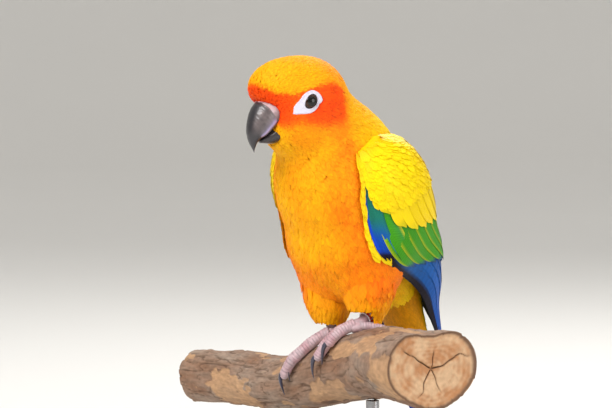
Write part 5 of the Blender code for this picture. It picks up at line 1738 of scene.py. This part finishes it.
# Perch
def make_perch(colours, sizes):
    """Cut branch: ridged bark that peels in patches, and rough sawn ends with rays and rings."""
    look = painted_finish("bark_and_wood", 0.85, 0.5, 2.5, 0.35, spread=0.5, specular=0.3)
    places = np.linspace(*PERCH_ENDS, 300)[:, None]
    turns = circle(180)[None]
    flat = perch_point(places, turns)
    wrapped = np.stack(np.broadcast_arrays(places, 16 * np.cos(turns), 16 * np.sin(turns)), axis=-1)
    ridges = noise(wrapped, (9.0, 2.6, 2.6), 15) + 0.5 * noise(wrapped, (4.0, 1.1, 1.1), 16)
    cracks = smooth((np.abs(noise(wrapped, (12.0, 2.4, 2.4), 17)) - 0.01) / 0.09)
    patch = noise(wrapped, (16.0, 9.0, 9.0), 18) + 0.35 * noise(wrapped, (4.0, 3.0, 3.0), 19)
    peeled = smooth((patch - 0.24) / 0.05)
    warts = smooth((noise(wrapped, (5.0, 4.0, 4.0), 20) - 0.45) / 0.3)
    bark = 0.28 * ridges - 0.5 * (1 - cracks) + 0.5 * warts
    above = bark * (1 - 0.8 * peeled) - 0.45 * peeled - 0.15
    near_feet = np.zeros_like(above)
    for side in (1, -1):
        _, hub, _ = leg_points(side)
        near_feet = np.maximum(near_feet, np.exp(-(np.linalg.norm(flat - hub, axis=-1) / 16) ** 4))
    above = np.where(above > 0, above * (1 - 0.8 * near_feet), above)
    rings = perch_point(places, turns, above)
    brown, grey, tan = linear(colours.bark), linear(colours.bark_grey), linear(colours.bare_wood)
    tint = mixed(brown, grey, 0.5 + 0.6 * noise(wrapped, (20.0, 7.0, 7.0), 21) + 0.25 * ridges)
    tint = mixed(tint, tan, peeled * (0.75 + 0.2 * ridges))
    # painted shade: darker in the bark's cracks, where the surface is sunk
    tint = mixed(tint, brown * 0.3, 0.6 * (1 - cracks) * (1 - peeled))
    fibres = 0.22 * noise(wrapped, (2.2, 0.9, 0.9), 28) + 0.12 * noise(wrapped, (6.0, 0.7, 0.7), 29)
    tint = tint * (1 + fibres)[..., None]
    pieces, tints = [rings.reshape(-1, 3)], [tint.reshape(-1, 3)]
    faces = grid_faces(*rings.shape[:2], False, False)
    for end, row, outward in ((0, rings[0], -1), (1, rings[-1], 1)):
        face_points, face_tint, shares = end_grain(row, outward, colours)
        offset = sum(len(p) for p in pieces)
        count = len(shares)
        grid = np.arange(count * 180).reshape(count, 180) + offset
        rim = np.arange(180) + (0 if end == 0 else 299 * 180)
        whole = np.concatenate([rim[None], grid])
        right = np.roll(whole, -1, axis=1)
        quads = np.stack([whole[:-1], right[:-1], right[1:], whole[1:]], axis=-1).reshape(-1, 4)
        last = np.stack([whole[-1], right[-1], np.full(180, offset + count * 180)], axis=-1)
        if end == 0:
            quads, last = quads[:, ::-1], last[:, ::-1]
        faces += quads.tolist() + last.tolist()
        pieces.append(face_points)
        tints.append(face_tint)
    points = np.concatenate(pieces)
    mesh_piece("perch_bark", points, facing_out(points, faces), look, ("perch",),
               np.concatenate(tints))


# Radial cracks of a sawn end: angle, and length as a share of the radius
SPLITS = ((0.4, 0.9), (1.9, 0.6), (2.9, 0.95), (4.2, 0.7), (5.3, 0.85))


def end_grain(rim, outward, colours):
    """Rings of points that shrink from a rim to its middle, with radial cracks and growth rings."""
    middle = rim.mean(axis=0)
    shares = np.linspace(0.97, 0.04, 40)
    rel = rim - middle
    flat = middle + rel[None] * shares[:, None, None]
    across = np.stack([rel @ PERCH_FRONT, rel @ UPWARD], axis=-1)[None] * shares[:, None, None]
    spoke = np.concatenate([across, np.zeros(across.shape[:2] + (1,))], axis=-1)
    angle = np.arctan2(across[..., 1], across[..., 0]) + 0.2 * noise(spoke, 5.0, 22)
    radial = np.zeros(angle.shape)
    for where, long in SPLITS:
        off = np.abs((angle - where + math.pi) % (2 * math.pi) - math.pi)
        split = np.exp(-(off * shares[:, None] / 0.014) ** 2) * smooth((long - shares[:, None]) / 0.25)
        radial = np.maximum(radial, split)
    rough = 0.35 * noise(spoke, 2.0, 23) + 0.5 * noise(spoke, 7.0, 24)
    inward = (0.9 * radial - rough * 0.5 + 0.6) * smooth((0.98 - shares[:, None]) / 0.08) * outward
    points = flat - inward[..., None] * PERCH_DIRECTION
    years = np.sin(shares[:, None] * 52 + 2.2 * noise(spoke, 6.0, 25))
    pale, warm = linear(colours.end_grain), linear(colours.end_grain_warm)
    tint = mixed(pale, warm, 0.45 + 0.16 * years + 0.7 * noise(spoke, 6.0, 26) + 0.4 * noise(spoke, 2.0, 27))
    # painted shade: dark in the radial splits, which are sunk into the face
    tint = mixed(tint, warm * 0.16, radial)
    tint = mixed(tint, linear(colours.bark) * 0.6, smooth((shares[:, None] - 0.88) / 0.08))
    centre = points[-1].mean(axis=0)
    everything = np.concatenate([points.reshape(-1, 3), [centre]])
    return everything, np.concatenate([tint.reshape(-1, 3), [tint[-1].mean(axis=0)]]), shares


# Stand
BASE_RADIUS = 62.0
BASE_HEIGHT = 9.0
BASE_BACK = 12.0
ROD_RADIUS = 3.0


def turned(profile, sides):
    """Rings of points: a profile of radius and height carried round an upright axis."""
    turn = circle(sides)[None]
    radius, height = (np.array(profile)[:, k][:, None] for k in (0, 1))
    return np.stack(np.broadcast_arrays(radius * np.cos(turn), radius * np.sin(turn), height), axis=-1)


def rounded_rim(radius, low, high, bevel):
    """Profile of a disc whose two edges are quarter circles."""
    turn = np.linspace(0, math.pi / 2, 7)
    lower = [(radius - bevel + bevel * math.sin(t), low + bevel - bevel * math.cos(t)) for t in turn]
    upper = [(radius - bevel + bevel * math.cos(t), high - bevel + bevel * math.sin(t)) for t in turn]
    inner = [(radius * k, low) for k in (0.2, 0.9)]
    return inner + lower + upper + [(radius * k, high) for k in (0.9, 0.2)]


def make_stand(colours, sizes):
    """Round painted base with two steel rods up to the perch."""
    paint_look = paint_finish("stand_satin_paint", colours.stand_paint, 0.45)
    steel = metal_finish("stand_brushed_steel", (0.70, 0.70, 0.71), 0.3)
    floor = -PERCH_TOP
    profile = rounded_rim(BASE_RADIUS, floor, floor + BASE_HEIGHT, 1.5)
    points, faces = tube(turned(profile, 128) + np.array([0, BASE_BACK, 0]))
    mesh_piece("stand_base_disc", points, facing_out(points, faces), paint_look,
               ("stand_base",))
    for word, place in (("left", ROD_SPREAD), ("right", -ROD_SPREAD)):
        node = "stand_rod_" + word
        low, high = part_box(node)
        x, y = (place * PERCH_DIRECTION)[:2]
        profile = rounded_rim(ROD_RADIUS, low.z / MM - PERCH_TOP, high.z / MM - PERCH_TOP + 0.4, 0.3)
        points, faces = tube(turned(profile, 64) + np.array([x, y, 0]))
        mesh_piece("stand_post_" + word, points, facing_out(points, faces), steel, (node,))


# Stage
VIEW_AZIMUTH = math.radians(40)
VIEW_ELEVATION = math.radians(3)
VIEW_DISTANCE = 2000.0
PIXELS_PER_MM = 2.2
PHOTO_WIDTH = 612
PERCH_IN_VIEW = (15.45, -59.5)
SENSOR_WIDTH = 36.0


def view_directions():
    """Back, right and up directions of the camera."""
    back = np.array([math.sin(VIEW_AZIMUTH) * math.cos(VIEW_ELEVATION),
                     -math.cos(VIEW_AZIMUTH) * math.cos(VIEW_ELEVATION), math.sin(VIEW_ELEVATION)])
    right = np.array([math.cos(VIEW_AZIMUTH), math.sin(VIEW_AZIMUTH), 0.0])
    return back, right, np.cross(back, right)


def aim(thing, at):
    """Turn a camera or lamp so that it looks from its place at a point."""
    back = unit(np.array(thing.location) - at)
    right = unit(np.cross(UPWARD, back))
    turn = np.stack([right, np.cross(back, right), back], axis=1)
    place = np.eye(4)
    place[:3, :3] = turn
    place[:3, 3] = np.array(thing.location)
    thing.matrix_world = Matrix(place)


def make_stage(colours, sizes):
    """Pale round bowl of a floor, three large soft lamps and the camera."""
    look, tree, shader = new_material("pale_backdrop", 0.9, specular=0.1)
    grain = placed(tree, grain_group(), Coarse=0.002, Fine=0.3)
    shade = linear(colours.backdrop)
    tree.links.new(colour_mix(tree, grain.outputs["Value"], shade, shade * 0.97), shader.inputs["Base Color"])
    flat = [(k, 0.0) for k in (50, 1000, 3000, 5000)]
    bend = [(5000 + 3000 * math.sin(t), 3000 - 3000 * math.cos(t)) for t in np.linspace(0.1, math.pi / 2, 12)]
    wall = [(8000, 5000), (8000, 9000)]
    rings = turned(flat + bend + wall, 96)
    points = np.concatenate([rings.reshape(-1, 3), np.zeros((1, 3))])
    mesh = bpy.data.meshes.new("floor")
    mesh.from_pydata((points * MM).tolist(), [], grid_faces(len(rings), 96, True, False))
    mesh.polygons.foreach_set("use_smooth", np.ones(len(mesh.polygons), bool))
    mesh.materials.append(look)
    floor = linked("floor", mesh)
    back, right, up = view_directions()
    middle = (LIFT + np.array([0, 0, 50.0])) * MM
    lamps = (("key_lamp", -0.9 * right + 1.25 * up + 1.3 * back, 1.1, sizes.key_power),
             ("fill_lamp", 1.6 * right + 0.5 * up + 1.2 * back, 1.4, sizes.fill_power),
             ("rim_lamp", 0.5 * right + 1.3 * up - 1.3 * back, 1.0, sizes.rim_power))
    for name, place, size, power in lamps:
        data = bpy.data.lights.new(name, "AREA")
        data.shape = "DISK"
        data.size = size
        data.energy = power
        lamp = linked(name, data)
        lamp.location = tuple(middle + place)
        aim(lamp, middle)
    world = bpy.data.worlds.new("soft_sky")
    world.use_nodes = True
    sky = world.node_tree.nodes["Background"]
    sky.inputs["Color"].default_value = (1.0, 1.0, 1.0, 1.0)
    sky.inputs["Strength"].default_value = sizes.sky
    bpy.context.scene.world = world
    data = bpy.data.cameras.new("photo_camera")
    data.sensor_width = SENSOR_WIDTH
    data.lens = SENSOR_WIDTH * VIEW_DISTANCE / (PHOTO_WIDTH / PIXELS_PER_MM)
    data.clip_end = 50.0
    camera = linked("photo_camera", data)
    target = LIFT - right * PERCH_IN_VIEW[0] - up * PERCH_IN_VIEW[1]
    camera.location = tuple((target + back * VIEW_DISTANCE) * MM)
    aim(camera, target * MM)
    bpy.context.scene.camera = camera
    bpy.context.scene.view_settings.view_transform = "Standard"


# The add-on
def colour_property(name, description, red, green, blue):
    """Colour for the panel, its default given from 0 to 255."""
    return FloatVectorProperty(name=name, description=description, subtype="COLOR_GAMMA", size=3, min=0.0,
                               max=1.0, default=(red / 255, green / 255, blue / 255))


class ConureColours(bpy.types.PropertyGroup):
    """Colours of the bird, its perch and the stage, as they look on a screen."""

    gold: colour_property("Gold", "Crown, nape and breast", 255, 178, 0)
    lemon: colour_property("Lemon", "Wing coverts and mantle", 255, 222, 0)
    amber: colour_property("Amber", "Back of the crown and thighs", 255, 150, 0)
    orange: colour_property("Orange", "Flanks, belly and cheeks", 255, 105, 0)
    red: colour_property("Red", "Face", 250, 38, 0)
    under_tail_shade: colour_property("Olive", "Vent", 170, 105, 10)
    # painted shade for the vent and below the tail coverts, not a colour of the feathers
    green: colour_property("Green", "Secondaries", 62, 150, 18)
    teal: colour_property("Teal", "Hand coverts", 24, 118, 100)
    blue: colour_property("Blue", "Primaries and the ends of the hand coverts", 6, 66, 190)
    black: colour_property("Black", "Tips of the flight feathers", 20, 12, 30)
    tail_green: colour_property("Tail green", "Tail feathers", 96, 120, 30)
    covert_green: colour_property("Covert green", "Upper tail coverts", 140, 170, 20)
    eye_skin: colour_property("Eye skin", "Bare skin round the eyes", 212, 208, 224)
    iris: colour_property("Iris", "Iris", 52, 22, 8)
    horn_dark: colour_property("Dark horn", "Tip and ridge of the bill", 40, 37, 42)
    horn_grey: colour_property("Grey horn", "Sides of the bill", 112, 100, 100)
    horn_pale: colour_property("Pale horn", "Base of the bill", 176, 158, 158)
    cutting_edge: colour_property("Cutting edge", "Edge of the upper bill", 176, 166, 214)
    cere: colour_property("Cere", "Fleshy strip over the bill", 196, 178, 184)
    foot_skin: colour_property("Foot skin", "Legs and toes", 206, 184, 190)
    foot_flush: colour_property("Foot flush", "Pink patches on the feet", 196, 150, 158)
    claw: colour_property("Claws", "Claws", 46, 44, 60)
    ring_red: colour_property("Ring red", "Plastic leg ring", 214, 26, 50)
    bark: colour_property("Bark", "Bark of the perch", 136, 102, 80)
    bark_grey: colour_property("Grey bark", "Weathered bark", 152, 132, 116)
    bare_wood: colour_property("Bare wood", "Wood where the bark has peeled", 188, 148, 110)
    end_grain: colour_property("End grain", "Sawn ends of the perch", 206, 170, 134)
    end_grain_warm: colour_property("Warm end grain", "Darker rings of the sawn ends", 180, 128, 88)
    stand_paint: colour_property("Stand paint", "Base of the stand", 58, 58, 62)
    backdrop: colour_property("Backdrop", "Floor and wall", 228, 226, 222)


class ConureSizes(bpy.types.PropertyGroup):
    """Sizes of the coat and strength of the lamps."""

    coat_depth: FloatProperty(name="Coat depth", description="How far the skin lies under the coat's surface",
                              default=0.0012, min=0.0004, max=0.003, subtype="DISTANCE", precision=4)
    skin_voxel: FloatProperty(name="Skin voxel", description="Size of the cells that melt the skin together",
                              default=0.0009, min=0.0005, max=0.003, subtype="DISTANCE", precision=4)
    spacing: FloatProperty(name="Spacing", description="Distance between feathers, a share of the usual one",
                           default=1.0, min=0.7, max=3.0, subtype="FACTOR")
    length: FloatProperty(name="Length", description="Length of small feathers, a share of the usual one",
                          default=1.0, min=0.5, max=1.5, subtype="FACTOR")
    key_power: FloatProperty(name="Key lamp", description="Power of the large front lamp", default=30.0,
                             min=0.0, unit="POWER")
    fill_power: FloatProperty(name="Fill lamp", description="Power of the lamp at the right", default=14.0,
                              min=0.0, unit="POWER")
    rim_power: FloatProperty(name="Rim lamp", description="Power of the lamp behind", default=18.0, min=0.0,
                             unit="POWER")
    sky: FloatProperty(name="Sky", description="Strength of the soft light from above", default=0.92, min=0.0)


class Maker:
    """What all buttons share: they make their piece with the scene's colours and sizes."""

    def execute(self, context):
        """Run the piece's own function."""
        self.make(context.scene.conure_colours, context.scene.conure_sizes)
        return {"FINISHED"}


class CONURE_OT_skin(Maker, bpy.types.Operator):
    """Make the bird's skin, which the feathers lie on"""
    bl_idname = "conure.skin"
    bl_label = "Skin"
    make = staticmethod(make_skin)


class CONURE_OT_body_coat(Maker, bpy.types.Operator):
    """Cover head, neck and trunk with small feathers"""
    bl_idname = "conure.body_coat"
    bl_label = "Body coat"
    make = staticmethod(make_body_coat)


class CONURE_OT_trousers(Maker, bpy.types.Operator):
    """Cover the thighs with loose feathers"""
    bl_idname = "conure.trousers"
    bl_label = "Trousers"
    make = staticmethod(make_trousers)


class CONURE_OT_wing_coverts(Maker, bpy.types.Operator):
    """Cover the front of the wings with small yellow feathers"""
    bl_idname = "conure.wing_coverts"
    bl_label = "Wing coverts"
    make = staticmethod(make_wing_coverts)


class CONURE_OT_flight_feathers(Maker, bpy.types.Operator):
    """Make the large feathers of both folded wings"""
    bl_idname = "conure.flight_feathers"
    bl_label = "Flight feathers"
    make = staticmethod(make_flight_feathers)


class CONURE_OT_tail(Maker, bpy.types.Operator):
    """Make the twelve tail feathers"""
    bl_idname = "conure.tail"
    bl_label = "Tail feathers"
    make = staticmethod(make_tail)


class CONURE_OT_tail_coverts(Maker, bpy.types.Operator):
    """Cover the root of the tail"""
    bl_idname = "conure.tail_coverts"
    bl_label = "Tail coverts"
    make = staticmethod(make_tail_coverts)


class CONURE_OT_eyes(Maker, bpy.types.Operator):
    """Make the eyes and the bare skin round them"""
    bl_idname = "conure.eyes"
    bl_label = "Eyes"
    make = staticmethod(make_eyes)


class CONURE_OT_bill(Maker, bpy.types.Operator):
    """Make both halves of the bill and the cere"""
    bl_idname = "conure.bill"
    bl_label = "Bill"
    make = staticmethod(make_bill)


class CONURE_OT_feet(Maker, bpy.types.Operator):
    """Make legs, toes and claws"""
    bl_idname = "conure.feet"
    bl_label = "Feet"
    make = staticmethod(make_feet)


class CONURE_OT_leg_rings(Maker, bpy.types.Operator):
    """Make the two leg rings"""
    bl_idname = "conure.leg_rings"
    bl_label = "Leg rings"
    make = staticmethod(make_rings)


class CONURE_OT_perch(Maker, bpy.types.Operator):
    """Make the perch with its bark and sawn ends"""
    bl_idname = "conure.perch"
    bl_label = "Perch"
    make = staticmethod(make_perch)


class CONURE_OT_stand(Maker, bpy.types.Operator):
    """Make the display stand"""
    bl_idname = "conure.stand"
    bl_label = "Stand"
    make = staticmethod(make_stand)


class CONURE_OT_stage(Maker, bpy.types.Operator):
    """Make floor, lamps and camera"""
    bl_idname = "conure.stage"
    bl_label = "Stage"
    make = staticmethod(make_stage)


OPERATORS = (CONURE_OT_skin, CONURE_OT_body_coat, CONURE_OT_trousers, CONURE_OT_wing_coverts,
             CONURE_OT_flight_feathers, CONURE_OT_tail, CONURE_OT_tail_coverts, CONURE_OT_eyes,
             CONURE_OT_bill, CONURE_OT_feet, CONURE_OT_leg_rings, CONURE_OT_perch, CONURE_OT_stand,
             CONURE_OT_stage)


class CONURE_PT_panel(bpy.types.Panel):
    """Sizes, colours and buttons of the model"""
    bl_idname = "CONURE_PT_panel"
    bl_label = "Sun conure"
    bl_space_type = "VIEW_3D"
    bl_region_type = "UI"
    bl_category = "Sun conure"

    def draw(self, context):
        """List the settings and then the buttons."""
        for group in (context.scene.conure_sizes, context.scene.conure_colours):
            column = self.layout.column(align=True)
            for key in group.__annotations__:
                column.prop(group, key)
        for operator in OPERATORS:
            self.layout.operator(operator.bl_idname)


CLASSES = (ConureColours, ConureSizes) + OPERATORS + (CONURE_PT_panel,)


def register():
    """Add the classes and the two groups of settings."""
    for thing in CLASSES:
        bpy.utils.register_class(thing)
    bpy.types.Scene.conure_colours = PointerProperty(type=ConureColours)
    bpy.types.Scene.conure_sizes = PointerProperty(type=ConureSizes)


def unregister():
    """Take the settings and the classes away again."""
    del bpy.types.Scene.conure_sizes
    del bpy.types.Scene.conure_colours
    for thing in reversed(CLASSES):
        bpy.utils.unregister_class(thing)


def main():
    """Make every piece and the stage through their operators."""
    register()
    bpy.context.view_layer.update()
    for operator in OPERATORS:
        group, name = operator.bl_idname.split(".")
        getattr(getattr(bpy.ops, group), name)()


if __name__ == "__main__":
    main()
